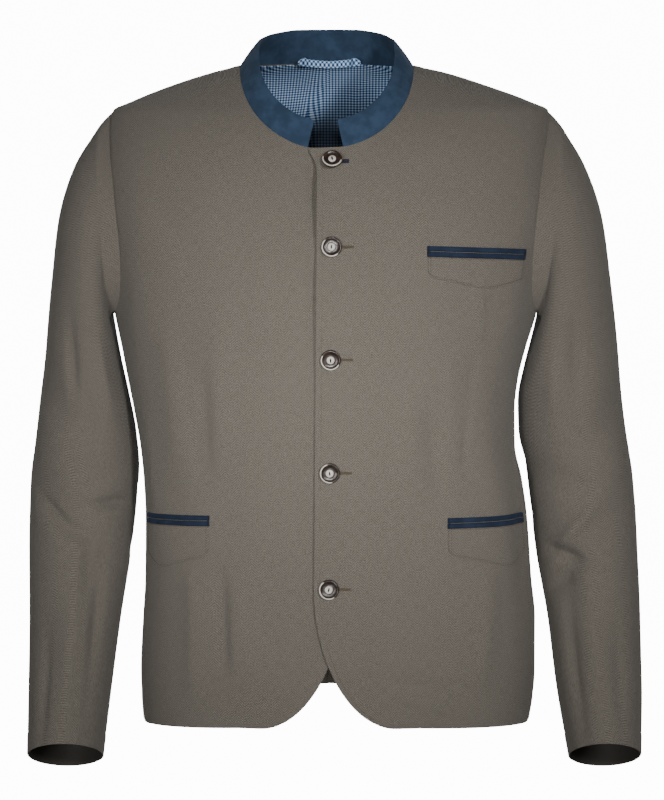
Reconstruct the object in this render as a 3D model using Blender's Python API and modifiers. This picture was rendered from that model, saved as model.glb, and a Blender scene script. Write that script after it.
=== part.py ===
"""Trachten jacket with a stand collar, kept in the hollow form that it has when worn.

Metres, +Z up, the front faces -Y. The origin lies between the shoulders, at the height of the
neck's sides, where the wearer carries the jacket. Left and right are the wearer's: left is +X.

The body is one smooth form, read by an angle round it and a height. The angle is 0 at the centre
front, +90 at the wearer's left side, -90 at the right side and 180 at the centre back.
Each panel is a wall of cloth between its own edges on that form.
"""
import math
from collections import namedtuple

import bmesh
import bpy
from mathutils import Vector
from mathutils.bvhtree import BVHTree

NAME = "trachten_jacket"

# Cloth
WALL = 0.0018
LINING_WALL = 0.0010
TRIM_WALL = 0.0012
PIPING_WALL = 0.0016
SEAM_GAP = 0.0003
TRIM_GAP = 0.0006
LAP_DEPTH = WALL + 0.0011

# Heights of the main lines
HEM_FRONT_Z = -0.674
HEM_SIDE_Z = -0.682
HEM_BACK_Z = -0.669
ARMPIT_Z = -0.252
SHOULDER_Z = -0.0446
NECK_SIDE_Z = 0.003
NECK_FRONT_Z = -0.082
NECK_BACK_Z = 0.007

# Neck opening, seen from the front
NECK_CENTRE_X = -0.0045
NECK_HALF = 0.0900

# Armhole, as angles round the body
SIDE_SEAM_ARMPIT = 80.0
SIDE_SEAM_HIP = 71.0
SIDE_SEAM_HIP_Z = -0.440
SHOULDER_SEAM = 90.0
ARMHOLE_FRONT = 23.0
ARMHOLE_BACK = 29.0

# Front edges: each front passes the centre by LAP_HALF, then curves away to the hem
LAP_HALF = 0.0150
CUTAWAY_TOP_Z = -0.535
CUTAWAY_WIDTH = 0.0850
CUTAWAY_POWER = 1.85
CORNER_FLARE = 0.0085
CORNER_FLARE_HEIGHT = 0.012

# The closing line of the fronts, which leans a little as it falls
CLOSING_TOP_X = 0.0008
CLOSING_TOP_Z = -0.095
CLOSING_LOW_X = -0.0026
CLOSING_LOW_Z = -0.530
LAP_FADE_START = 0.056
LAP_FADE_WIDTH = 0.036

# Columns next to a front edge, as distances past the centre line
EDGE_COLUMNS = (-LAP_HALF, 0.0, LAP_HALF, 0.038, 0.064, 0.092)
LAP_COLUMNS = 3
TILT_COLUMNS = 2
FRONT_SIDE_COLUMNS = 7
BACK_COLUMNS = 10

# Steps in degrees and metres over which the way out of the form is measured
NORMAL_TURN = 0.8
NORMAL_RISE = 0.0015

# Halvings of a search for an angle, samples along an edge, and the angle that shades as a sharp edge
HALVINGS = 30
EDGE_SAMPLES = 60
SHARP_ANGLE = 40.0

# Rows: hem to armpit, armpit to the front neck, front neck to the neck's side
LOWER_HEIGHTS = (
    0.0, 0.0025, 0.008, 0.018, 0.034, 0.062, 0.100, 0.146, 0.190, 0.232, 0.272, 0.312, 0.352, 0.388)
BELOW_ARMPIT = 0.028
ARMPIT_EDGE_RISE = 0.030
ARM_STEPS = 12
FRONT_RISE_STEPS = 5
BACK_RISE_STEPS = 7
BACK_RISE_EASE = 1.7
RING_STEPS = 2 * ARM_STEPS

# Collar
COLLAR_ROWS = 3
COLLAR_GAP_RIGHT = -0.0236
COLLAR_GAP_LEFT = 0.0123
COLLAR_TAPER = 0.0045

# Sleeve seams, as steps round the armhole from the shoulder towards the front
FRONT_SLEEVE_SEAM = 11
BACK_SLEEVE_SEAM = 18

# Both seams swing round the arm below the armhole: degrees of turn, and where the swing lies, in rings
FRONT_SEAM_TURN = 35.0
BACK_SEAM_TURN = 104.0
SEAM_SWING_START = 0.5
SEAM_SWING_LENGTH = 7.0

# Buttons
BUTTON_X = 0.0003
BUTTON_HEIGHTS = (-0.0950, -0.1810, -0.2950, -0.4110, -0.5300)
BUTTON_RADIUS = 0.0105
BUTTON_STEPS = 18
BUTTON_LIFT = 0.0006
SCREW_MERGE = 0.00005

BodyRing = namedtuple("BodyRing", "z right_half left_half front_depth back_depth squareness")
BODY_RINGS = (
    BodyRing(-0.700, 0.1965, 0.2060, 0.1250, 0.1230, 2.5),
    BodyRing(-0.631, 0.2005, 0.2150, 0.1250, 0.1220, 2.5),
    BodyRing(-0.575, 0.1980, 0.2150, 0.1240, 0.1190, 2.5),
    BodyRing(-0.534, 0.1955, 0.2110, 0.1230, 0.1150, 2.5),
    BodyRing(-0.467, 0.1948, 0.2060, 0.1210, 0.1080, 2.5),
    BodyRing(-0.429, 0.1965, 0.2005, 0.1205, 0.1045, 2.5),
    BodyRing(-0.393, 0.2000, 0.1930, 0.1215, 0.1045, 2.5),
    BodyRing(-0.355, 0.2065, 0.1925, 0.1240, 0.1075, 2.5),
    BodyRing(-0.324, 0.2122, 0.1955, 0.1270, 0.1110, 2.5),
    BodyRing(-0.290, 0.2185, 0.2035, 0.1300, 0.1150, 2.5),
    BodyRing(-0.255, 0.2255, 0.2140, 0.1320, 0.1190, 2.5),
    BodyRing(-0.205, 0.2335, 0.2220, 0.1310, 0.1230, 2.6),
    BodyRing(-0.150, 0.2375, 0.2270, 0.1250, 0.1240, 2.6),
    BodyRing(-0.105, 0.2375, 0.2285, 0.1135, 0.1200, 2.5),
    BodyRing(-0.075, 0.2350, 0.2285, 0.1020, 0.1140, 2.4),
    BodyRing(-0.0446, 0.2270, 0.2262, 0.0810, 0.1040, 2.2),
    BodyRing(-0.0328, 0.2036, 0.2030, 0.0690, 0.0980, 2.1),
    BodyRing(-0.0187, 0.1680, 0.1640, 0.0540, 0.0890, 2.0),
    BodyRing(-0.0045, 0.1240, 0.1190, 0.0340, 0.0750, 2.0),
    BodyRing(0.0030, 0.0945, 0.0855, 0.0180, 0.0640, 2.0),
    BodyRing(0.0120, 0.0640, 0.0560, 0.0080, 0.0500, 2.0),
)

# Soft folds of the body: depth is outwards, lean is in degrees round the body for a metre of fall
Fold = namedtuple("Fold", "angle top bottom half_width depth lean")
BODY_FOLDS = (
    Fold(-34.0, -0.300, -0.620, 7.0, -0.0030, 20.0),
    Fold(-58.0, -0.120, -0.330, 8.0, -0.0035, -60.0),
    Fold(-66.0, -0.330, -0.520, 6.0, 0.0025, 30.0),
    Fold(27.0, -0.330, -0.640, 6.0, -0.0030, -30.0),
    Fold(46.0, -0.240, -0.560, 7.0, 0.0030, 20.0),
    Fold(60.0, -0.150, -0.340, 7.0, -0.0030, 50.0),
    Fold(68.0, -0.340, -0.640, 6.0, -0.0025, -20.0),
    Fold(118.0, -0.220, -0.560, 8.0, -0.0035, -50.0),
    Fold(-122.0, -0.240, -0.600, 8.0, -0.0035, 60.0),
    Fold(146.0, -0.340, -0.660, 8.0, 0.0030, 20.0),
    Fold(-150.0, -0.300, -0.640, 8.0, 0.0030, -25.0),
    Fold(165.0, -0.380, -0.680, 6.0, -0.0020, 0.0),
)

SleeveRing = namedtuple(
    "SleeveRing", "outer_right outer_left outer_z inner_right inner_left inner_z centre_y half_depth tilt")
SLEEVE_RINGS = (
    SleeveRing(0.2440, 0.2425, -0.0640, 0.2310, 0.2190, -0.2630, -0.002, 0.0640, 0.00),
    SleeveRing(0.2680, 0.2655, -0.1030, 0.2245, 0.2105, -0.2860, 0.000, 0.0690, 0.00),
    SleeveRing(0.2845, 0.2835, -0.1560, 0.2180, 0.2020, -0.3150, 0.003, 0.0720, 0.00),
    SleeveRing(0.2930, 0.2935, -0.2250, 0.2115, 0.1968, -0.3450, 0.006, 0.0730, 0.02),
    SleeveRing(0.3010, 0.3025, -0.3000, 0.2055, 0.1980, -0.3800, 0.010, 0.0715, 0.05),
    SleeveRing(0.3090, 0.3095, -0.3700, 0.2025, 0.2055, -0.4150, 0.013, 0.0690, 0.10),
    SleeveRing(0.3165, 0.3190, -0.4350, 0.2048, 0.2100, -0.4500, 0.012, 0.0660, 0.16),
    SleeveRing(0.3178, 0.3225, -0.5000, 0.2105, 0.2160, -0.5050, 0.002, 0.0620, 0.22),
    SleeveRing(0.3165, 0.3245, -0.5700, 0.2205, 0.2275, -0.5720, -0.016, 0.0580, 0.28),
    SleeveRing(0.3160, 0.3250, -0.6400, 0.2290, 0.2355, -0.6400, -0.037, 0.0545, 0.34),
    SleeveRing(0.3158, 0.3225, -0.7135, 0.2374, 0.2479, -0.7125, -0.060, 0.0520, 0.42),
)

# Creases of a sleeve: along counts rings of the table, around is in degrees from the outer side
Crease = namedtuple("Crease", "along around half_along half_around depth slant")
LEFT_CREASE_SHIFT = 0.35
SLEEVE_CREASES = (
    Crease(4.6, 60.0, 0.45, 46.0, -0.0035, 0.010),
    Crease(5.6, 105.0, 0.40, 42.0, -0.0045, -0.008),
    Crease(6.5, 80.0, 0.40, 50.0, -0.0045, 0.012),
    Crease(7.5, 110.0, 0.40, 40.0, -0.0035, -0.010),
    Crease(8.8, 70.0, 0.50, 40.0, -0.0025, 0.008),
    Crease(3.0, 75.0, 0.60, 40.0, -0.0030, -0.012),
    Crease(5.2, 255.0, 0.50, 44.0, -0.0030, 0.010),
    Crease(6.8, 285.0, 0.50, 46.0, 0.0030, -0.010),
    Crease(2.4, 250.0, 0.60, 44.0, -0.0030, 0.012),
)

CollarPart = namedtuple("CollarPart", "angle height lean")
COLLAR_PARTS = (
    CollarPart(0.0, 0.0310, 18.0),
    CollarPart(60.0, 0.0335, 30.0),
    CollarPart(100.0, 0.0345, 37.0),
    CollarPart(125.0, 0.0366, 29.0),
    CollarPart(145.0, 0.0396, 22.0),
    CollarPart(160.0, 0.0385, 17.0),
    CollarPart(180.0, 0.0348, 12.0),
)

# Pockets: ends are distances from the centre line, drop is the flap's depth at its corner and point
Pocket = namedtuple("Pocket", "name side inner_x outer_angle top_inner top_outer drop point point_place")
POCKETS = (
    Pocket("chest", 1, 0.0970, 55.5, -0.1800, -0.1850, 0.0200, 0.0310, 0.55),
    Pocket("hip_left", 1, 0.1190, 69.6, -0.4585, -0.4600, 0.0270, 0.0430, 0.66),
    Pocket("hip_right", -1, 0.1250, 69.6, -0.4565, -0.4600, 0.0300, 0.0450, 0.66),
)
PIPING_HEIGHT = 0.0052
PIPING_SLIT = 0.0006
PIPING_STEPS = 16
FLAP_STEPS = 12
FLAP_ROWS = 4
FLAP_INSET = 0.001

# Lining of the upper back and its loop
LINING_BOTTOM_ROW = 13
LINING_PLEAT = 0.0022
LINING_PLEAT_START = 0.06
LINING_PLEAT_TURN = 14.0
LOOP_HALF = 0.0340
LOOP_HEIGHT = 0.0070
LOOP_STEPS = 12
LOOP_DROP = 0.0030
LOOP_BULGE = 0.0010
LOOP_REACH = 0.0080

Finish = namedtuple("Finish", "colour roughness metallic")
FINISHES = {
    "cloth": Finish((0.118, 0.108, 0.088, 1.0), 0.85, 0.0),
    "velvet_blue": Finish((0.030, 0.050, 0.090, 1.0), 0.80, 0.0),
    "gingham": Finish((0.330, 0.450, 0.600, 1.0), 0.75, 0.0),
    "horn": Finish((0.160, 0.110, 0.075, 1.0), 0.40, 0.0),
}


def clear_scene():
    for thing in list(bpy.data.objects):
        bpy.data.objects.remove(thing, do_unlink=True)


def make_material(name, finish):
    material = bpy.data.materials.new(name)
    material.use_nodes = True
    shader = material.node_tree.nodes["Principled BSDF"]
    shader.inputs["Base Color"].default_value = finish.colour
    shader.inputs["Roughness"].default_value = finish.roughness
    shader.inputs["Metallic"].default_value = finish.metallic
    material.diffuse_color = finish.colour
    return material


def smooth_step(value):
    value = min(1.0, max(0.0, value))
    return value * value * (3.0 - 2.0 * value)


def curve_slopes(places, values):
    """Slopes of a smooth curve through the points, with no overshoot between them."""
    steps = [(values[i + 1] - values[i]) / (places[i + 1] - places[i]) for i in range(len(places) - 1)]
    slopes = [steps[0]]
    for before, after in zip(steps, steps[1:]):
        slopes.append(0.0 if before * after <= 0.0 else 2.0 * before * after / (before + after))
    slopes.append(steps[-1])
    return slopes


def read_curve(places, values, slopes, place):
    """Value of the smooth curve at a place."""
    place = min(places[-1], max(places[0], place))
    i = 0
    while i < len(places) - 2 and place > places[i + 1]:
        i += 1
    width = places[i + 1] - places[i]
    t = (place - places[i]) / width
    rest = 1.0 - t
    start = (1.0 + 2.0 * t) * rest * rest * values[i] + t * rest * rest * width * slopes[i]
    end = t * t * (3.0 - 2.0 * t) * values[i + 1] - t * t * rest * width * slopes[i + 1]
    return start + end


def curves_of(rows, place_column):
    """One smooth curve for each column of a table, along its place column."""
    places = [getattr(row, place_column) for row in rows]
    curves = {}
    for column in rows[0]._fields:
        if column != place_column:
            values = [getattr(row, column) for row in rows]
            curves[column] = (places, values, curve_slopes(places, values))
    return curves


BODY_CURVES = curves_of(BODY_RINGS, "z")
COLLAR_CURVES = curves_of(COLLAR_PARTS, "angle")


def body_value(column, z):
    return read_curve(*BODY_CURVES[column], z)


def fold_height(angle, z):
    """How far the folds lift the cloth at this place."""
    height = 0.0
    for fold in BODY_FOLDS:
        if fold.bottom < z < fold.top:
            along = (fold.top - z) / (fold.top - fold.bottom)
            middle = fold.angle + fold.lean * (fold.top - z)
            across = (angle - middle) / fold.half_width
            height += fold.depth * math.sin(math.pi * along) ** 2 * math.exp(-across * across)
    return height


def body_point(angle, z):
    """Point of the outer face of the body at an angle in degrees and a height."""
    turn = math.radians(angle)
    half = body_value("left_half" if angle > 0.0 else "right_half", z)
    depth = body_value("front_depth" if abs(angle) < SHOULDER_SEAM else "back_depth", z)
    power = body_value("squareness", z)
    sine, cosine = math.sin(turn), math.cos(turn)
    reach = (abs(sine) ** power + abs(cosine) ** power) ** (-1.0 / power)
    lift = 1.0 + fold_height(angle, z) / half
    return Vector((half * reach * sine * lift, -depth * reach * cosine * lift, z))


def body_normal(angle, z):
    """Outward direction of the body's face."""
    around = body_point(angle + NORMAL_TURN, z) - body_point(angle - NORMAL_TURN, z)
    up = body_point(angle, z + NORMAL_RISE) - body_point(angle, z - NORMAL_RISE)
    return around.cross(up).normalized()


def angle_at(x, z):
    """Angle on the front at which the body passes a distance x from the middle."""
    low, high = 0.0, SHOULDER_SEAM
    sign = 1.0 if x >= 0.0 else -1.0
    for _ in range(HALVINGS):
        middle = 0.5 * (low + high)
        if abs(body_point(sign * middle, z).x) < abs(x):
            low = middle
        else:
            high = middle
    return sign * 0.5 * (low + high)


def side_seam_place(side, z):
    """Angle and height on a side seam, which swings forward from the armpit to the hip."""
    part = smooth_step((ARMPIT_Z - z) / (ARMPIT_Z - SIDE_SEAM_HIP_Z))
    return side * (SIDE_SEAM_ARMPIT + (SIDE_SEAM_HIP - SIDE_SEAM_ARMPIT) * part), z


def armhole_place(side, step):
    """Angle and height on the armhole; step 0 is the shoulder, 12 the armpit, 6 the front, 18 the back."""
    turn = 2.0 * math.pi * step / RING_STEPS
    low = 0.5 * (1.0 - math.cos(turn))
    width = ARMHOLE_FRONT if math.sin(turn) > 0.0 else ARMHOLE_BACK
    middle = SHOULDER_SEAM + (SIDE_SEAM_ARMPIT - SHOULDER_SEAM) * low
    angle = middle - width * math.sin(turn)
    return side * angle, SHOULDER_Z + (ARMPIT_Z - SHOULDER_Z) * low


def front_neck_place(side, turn):
    """Angle and height on the front neck edge; turn runs from 0 at the middle to 90 at the side."""
    swing = math.radians(turn)
    z = NECK_SIDE_Z + (NECK_FRONT_Z - NECK_SIDE_Z) * math.cos(swing)
    if turn >= 90.0:
        return side * SHOULDER_SEAM, z
    x = NECK_CENTRE_X + side * NECK_HALF * math.sin(swing)
    return angle_at(x, z), z


def back_neck_place(side, turn):
    """Angle and height on the back neck edge; turn runs from 0 at the side to 90 at the middle."""
    rise = smooth_step(turn / 90.0)
    return side * (SHOULDER_SEAM + turn), NECK_SIDE_Z + (NECK_BACK_Z - NECK_SIDE_Z) * rise


def even_places(place_of, start, end, count):
    """Places spaced evenly along an edge of the body, both ends counted."""
    turns = [start + (end - start) * i / EDGE_SAMPLES for i in range(EDGE_SAMPLES + 1)]
    points = [body_point(*place_of(turn)) for turn in turns]
    travelled = [0.0]
    for before, after in zip(points, points[1:]):
        travelled.append(travelled[-1] + (after - before).length)
    places = []
    for k in range(count + 1):
        wanted = travelled[-1] * k / count
        i = max(j for j in range(EDGE_SAMPLES) if travelled[j] <= wanted)
        part = (wanted - travelled[i]) / (travelled[i + 1] - travelled[i])
        places.append(place_of(turns[i] + part * (turns[i + 1] - turns[i])))
    return places


def neck_turn(x):
    """Turn of the front neck edge at a distance x, measured from the middle of the neck."""
    return math.degrees(math.asin(abs(x - NECK_CENTRE_X) / NECK_HALF))


def front_neck_places(side):
    """Places of a front's neck edge, from the collar's end to the shoulder seam."""
    start = neck_turn(COLLAR_GAP_LEFT if side > 0 else COLLAR_GAP_RIGHT)
    count = ARM_STEPS - FRONT_RISE_STEPS - 1
    return even_places(lambda turn: front_neck_place(side, turn), start, 90.0, count)


def back_neck_places(side):
    """Places of a back's neck edge, from the centre back to the shoulder seam."""
    return even_places(lambda turn: back_neck_place(side, turn), 90.0, 0.0, ARM_STEPS - BACK_RISE_STEPS)


def closing_x(z):
    """Distance of the closing line from the middle of the body."""
    fall = min(1.0, max(0.0, (CLOSING_TOP_Z - z) / (CLOSING_TOP_Z - CLOSING_LOW_Z)))
    return CLOSING_TOP_X + (CLOSING_LOW_X - CLOSING_TOP_X) * fall


def edge_past_centre(z):
    """How far a front edge passes the closing line; less than nothing where it curves away."""
    if z >= CUTAWAY_TOP_Z:
        return LAP_HALF + CORNER_FLARE * math.exp(-((z - NECK_FRONT_Z) / CORNER_FLARE_HEIGHT) ** 2)
    fall = min(1.0, (CUTAWAY_TOP_Z - z) / (CUTAWAY_TOP_Z - HEM_FRONT_Z))
    return LAP_HALF - CUTAWAY_WIDTH * (1.0 - math.sqrt(max(0.0, 1.0 - fall ** CUTAWAY_POWER)))


def front_rows(side):
    """Places of a front, row by row from the hem to the shoulder, column by column from its edge."""
    rows = []
    for height in LOWER_HEIGHTS:
        side_z = HEM_SIDE_Z + height * (ARMPIT_Z - HEM_SIDE_Z - BELOW_ARMPIT) / LOWER_HEIGHTS[-1]
        z = HEM_FRONT_Z + height
        rows.append(level_row(side, z, side_seam_place(side, side_z), edge_past_centre(z)))
    armpit_edge_z = HEM_FRONT_Z + LOWER_HEIGHTS[-1] + ARMPIT_EDGE_RISE
    rows.append(level_row(side, armpit_edge_z, armhole_place(side, ARM_STEPS), edge_past_centre(armpit_edge_z)))
    for k in range(1, FRONT_RISE_STEPS + 1):
        z = armpit_edge_z + (NECK_FRONT_Z - armpit_edge_z) * k / FRONT_RISE_STEPS
        level = level_row(side, z, armhole_place(side, ARM_STEPS - k), edge_past_centre(z))
        rows.append(tilted_row(level, k / FRONT_RISE_STEPS))
    for k, place in enumerate(front_neck_places(side)):
        end = armhole_place(side, ARM_STEPS - FRONT_RISE_STEPS - 1 - k)
        if k == 0:
            past = side * (closing_x(place[1]) - body_point(*place).x)
            rows.append(tilted_row(level_row(side, place[1], end, past), 1.0))
        else:
            rows.append(straight_row(place, end, len(EDGE_COLUMNS) - 1 + FRONT_SIDE_COLUMNS))
    return rows


def between(start, end, part):
    return tuple(a + (b - a) * part for a, b in zip(start, end))


def straight_row(start, end, columns):
    """Places spaced evenly between two places."""
    return [between(start, end, k / columns) for k in range(columns + 1)]


def tilted_row(level, share):
    """A level row brought nearer to a straight one, except where the fronts lap."""
    last = len(level) - 1
    tilted = []
    for j, (place, straight) in enumerate(zip(level, straight_row(level[0], level[-1], last))):
        beyond_lap = min(1.0, max(0.0, (j - LAP_COLUMNS) / TILT_COLUMNS))
        tilted.append(between(place, straight, share * beyond_lap))
    return tilted


def level_row(side, z, end, past):
    """Places across a front: level next to its edge, then even ones to its side seam or armhole."""
    stretch = (EDGE_COLUMNS[-1] + past) / (EDGE_COLUMNS[-1] - EDGE_COLUMNS[0])
    distances = [EDGE_COLUMNS[-1] - (EDGE_COLUMNS[-1] - column) * stretch for column in EDGE_COLUMNS]
    near = [(angle_at(closing_x(z) + side * distance, z), z) for distance in distances]
    return near + straight_row(near[-1], end, FRONT_SIDE_COLUMNS)[1:]


def back_rows(side):
    """Places of a back, row by row from the hem to the shoulder, column by column from the middle."""
    rows = []
    for height in LOWER_HEIGHTS:
        middle_z = HEM_BACK_Z + height * (ARMPIT_Z - HEM_BACK_Z - BELOW_ARMPIT) / LOWER_HEIGHTS[-1]
        side_z = HEM_SIDE_Z + height * (ARMPIT_Z - HEM_SIDE_Z - BELOW_ARMPIT) / LOWER_HEIGHTS[-1]
        rows.append(((side * 180.0, middle_z), side_seam_place(side, side_z)))
    rows.append(((side * 180.0, ARMPIT_Z), armhole_place(side, ARM_STEPS)))
    for k in range(1, BACK_RISE_STEPS):
        z = ARMPIT_Z + (NECK_BACK_Z - ARMPIT_Z) * (1.0 - (1.0 - k / BACK_RISE_STEPS) ** BACK_RISE_EASE)
        rows.append(((side * 180.0, z), armhole_place(side, ARM_STEPS + k)))
    for k, place in enumerate(back_neck_places(side)):
        rows.append((place, armhole_place(side, ARM_STEPS + BACK_RISE_STEPS + k)))
    return [straight_row(start, end, BACK_COLUMNS) for start, end in rows]


def lap_push(x):
    """How far the under front lies beneath the form, near the centre line."""
    return LAP_DEPTH * smooth_step((x + LAP_FADE_START) / LAP_FADE_WIDTH)


def skins(rows, under=False):
    """Outer and inner points of a panel's wall."""
    outer, inner = [], []
    for row in rows:
        outer_row, inner_row = [], []
        for angle, z in row:
            point = body_point(angle, z)
            normal = body_normal(angle, z)
            if under:
                point = point - normal * lap_push(point.x)
            outer_row.append(point)
            inner_row.append(point - normal * WALL)
        outer.append(outer_row)
        inner.append(inner_row)
    return outer, inner


def draw_back(skin, first_column=False, last_column_rows=0, last_row=False):
    """Draws the seam edges of a panel back by half the gap between two pieces."""
    half = 0.5 * SEAM_GAP
    for i, row in enumerate(skin):
        if first_column:
            row[0] = row[0] + (row[1] - row[0]).normalized() * half
        if i < last_column_rows:
            row[-1] = row[-1] + (row[-2] - row[-1]).normalized() * half
    if last_row:
        skin[-1] = [top + (below - top).normalized() * half for top, below in zip(skin[-1], skin[-2])]


def new_object(name, mesh, material):
    """Adds a smooth shaded object to the jacket's collection."""
    mesh.materials.append(material)
    mesh.shade_smooth()
    mesh.set_sharp_from_angle(angle=math.radians(SHARP_ANGLE))
    thing = bpy.data.objects.new(name, mesh)
    bpy.data.collections[NAME].objects.link(thing)
    return thing


def cloth_wall(name, outer, inner, material):
    """A wall between two skins that share their rows and columns, closed along its four edges.

    The thickness follows the form under both neighbours of a seam, so their edges stay parallel.
    """
    bm = bmesh.new()
    skin_a = [[bm.verts.new(point) for point in row] for row in outer]
    skin_b = [[bm.verts.new(point) for point in row] for row in inner]
    rows, columns = len(outer), len(outer[0])
    for i in range(rows - 1):
        for j in range(columns - 1):
            bm.faces.new((skin_a[i][j], skin_a[i][j + 1], skin_a[i + 1][j + 1], skin_a[i + 1][j]))
            bm.faces.new((skin_b[i + 1][j], skin_b[i + 1][j + 1], skin_b[i][j + 1], skin_b[i][j]))
    border = [(0, j) for j in range(columns)]
    border += [(i, columns - 1) for i in range(1, rows)]
    border += [(rows - 1, j) for j in range(columns - 2, -1, -1)]
    border += [(i, 0) for i in range(rows - 2, 0, -1)]
    for (i, j), (k, m) in zip(border, border[1:] + border[:1]):
        bm.faces.new((skin_a[i][j], skin_b[i][j], skin_b[k][m], skin_a[k][m]))
    bmesh.ops.triangulate(bm, faces=bm.faces, quad_method="SHORT_EDGE")
    bmesh.ops.recalc_face_normals(bm, faces=bm.faces)
    mesh = bpy.data.meshes.new(name)
    bm.to_mesh(mesh)
    bm.free()
    return new_object(name, mesh, material)


def make_front(side, material):
    """One front, from its edge to the side seam and from the hem to the shoulder."""
    outer, inner = skins(front_rows(side), under=side < 0)
    for skin in (outer, inner):
        draw_back(skin, last_column_rows=len(LOWER_HEIGHTS) + 1, last_row=True)
    name = "front_left" if side > 0 else "front_right"
    return cloth_wall(name, outer, inner, material)


def make_back(side, material):
    """One back, from the centre seam to the side seam."""
    outer, inner = skins(back_rows(side))
    for skin in (outer, inner):
        draw_back(skin, first_column=True, last_column_rows=len(LOWER_HEIGHTS) + 1, last_row=True)
    name = "back_left" if side > 0 else "back_right"
    return cloth_wall(name, outer, inner, material)


EdgePoint = namedtuple("EdgePoint", "point normal away")


def past_edge(places, hole_centre, under=False):
    """Points just past an edge of the body, on the open side of it, and the ways out and away."""
    points, normals = [], []
    for angle, z in places:
        point = body_point(angle, z)
        normal = body_normal(angle, z)
        if under:
            point = point - normal * lap_push(point.x)
        points.append(point)
        normals.append(normal)
    edge = []
    last = len(points) - 1
    for i, (point, normal) in enumerate(zip(points, normals)):
        along = points[min(last, i + 1)] - points[max(0, i - 1)]
        away = normal.cross(along).normalized()
        if away.dot(hole_centre - point) < 0.0:
            away = -away
        edge.append(EdgePoint(point + away * SEAM_GAP, normal, away))
    return edge


def sleeve_ring(side, along):
    """Values of the sleeve's table at a place between its rings."""
    columns = SleeveRing._fields
    places = range(len(SLEEVE_RINGS))
    values = []
    for column in columns:
        numbers = [getattr(ring, column) for ring in SLEEVE_RINGS]
        values.append(read_curve(places, numbers, curve_slopes(places, numbers), along))
    ring = SleeveRing(*values)
    outer_x = ring.outer_left if side > 0 else ring.outer_right
    inner_x = ring.inner_left if side > 0 else ring.inner_right
    return ring, Vector((side * outer_x, 0.0, ring.outer_z)), Vector((side * inner_x, 0.0, ring.inner_z))


def crease_height(side, along, around):
    """How far the creases lift a sleeve's cloth; the two sleeves crease at other heights."""
    height = 0.0
    for crease in SLEEVE_CREASES:
        swing = (around - crease.around + 180.0) % 360.0 - 180.0
        across = swing / crease.half_around
        middle = crease.along + LEFT_CREASE_SHIFT * (side > 0) + crease.slant * swing
        height += crease.depth * math.exp(-across * across - ((along - middle) / crease.half_along) ** 2)
    return height


def step_turn(along, step):
    """Angle round the sleeve of a step; both seams swing round the arm on their way to the cuff."""
    swing = smooth_step((along - SEAM_SWING_START) / SEAM_SWING_LENGTH)
    front = 360.0 * FRONT_SLEEVE_SEAM / RING_STEPS + FRONT_SEAM_TURN * swing
    back = 360.0 * BACK_SLEEVE_SEAM / RING_STEPS + BACK_SEAM_TURN * swing
    under_steps = BACK_SLEEVE_SEAM - FRONT_SLEEVE_SEAM
    if FRONT_SLEEVE_SEAM <= step <= BACK_SLEEVE_SEAM:
        return front + (back - front) * (step - FRONT_SLEEVE_SEAM) / under_steps
    past = (step - BACK_SLEEVE_SEAM) % RING_STEPS
    return back + (front + 360.0 - back) * past / (RING_STEPS - under_steps)


def sleeve_point(side, along, step):
    """Point of a sleeve's outer face."""
    ring, outer, inner = sleeve_ring(side, along)
    around = step_turn(along, step)
    turn = math.radians(around)
    lift = crease_height(side, along, around)
    half = (outer - inner) * 0.5
    across = half * (1.0 + lift / half.length)
    point = (outer + inner) * 0.5 + across * math.cos(turn)
    point.y = ring.centre_y - (ring.half_depth + lift) * math.sin(turn)
    point.z += ring.tilt * ring.half_depth * math.sin(turn)
    return point


def ring_normal(rings, i, j):
    """Outward direction of a sleeve at a point of its rings."""
    ahead = rings[i][j + 1 if j < RING_STEPS else 1]
    behind = rings[i][j - 1 if j > 0 else RING_STEPS - 1]
    below = rings[min(i + 1, len(rings) - 1)][j]
    above = rings[max(i - 1, 0)][j]
    normal = (ahead - behind).cross(below - above).normalized()
    middle = sum(rings[i][:-1], Vector()) / RING_STEPS
    return normal if normal.dot(rings[i][j] - middle) > 0.0 else -normal


def sleeve_skins(side):
    """Outer and inner rings of a sleeve, from the armhole to the cuff."""
    steps = range(RING_STEPS + 1)
    hole = [armhole_place(side, step) for step in steps]
    centre = body_point(side * SHOULDER_SEAM, 0.5 * (SHOULDER_Z + ARMPIT_Z))
    edge = past_edge([hole[-2]] + hole + [hole[1]], centre)[1:-1]
    outer = [[start.point for start in edge]]
    for k in range(2 * (len(SLEEVE_RINGS) - 1) + 1):
        outer.append([sleeve_point(side, 0.5 * k, step) for step in steps])
    inner = []
    for i, ring in enumerate(outer):
        row = []
        for j in steps:
            normal = ring_normal(outer, i, j)
            if i == 0:
                # Next to the armhole the wall doesn't lean back over the body's edge
                normal = (normal - edge[j].away * max(0.0, normal.dot(edge[j].away))).normalized()
            row.append(ring[j] - normal * WALL)
        inner.append(row)
    return outer, inner


def make_sleeve(side, material):
    """A two-piece sleeve: a top piece over the arm and an under piece next to the body."""
    outer, inner = sleeve_skins(side)
    label = "sleeve_left" if side > 0 else "sleeve_right"
    under_steps = list(range(FRONT_SLEEVE_SEAM, BACK_SLEEVE_SEAM + 1))
    top_steps = list(range(BACK_SLEEVE_SEAM, RING_STEPS)) + list(range(0, FRONT_SLEEVE_SEAM + 1))
    for part, steps in (("top", top_steps), ("under", under_steps)):
        walls = []
        for skin in (outer, inner):
            piece = [[ring[step] for step in steps] for ring in skin]
            draw_back(piece, first_column=True, last_column_rows=len(piece))
            walls.append(piece)
        cloth_wall(label + "_" + part, walls[0], walls[1], material)


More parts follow.
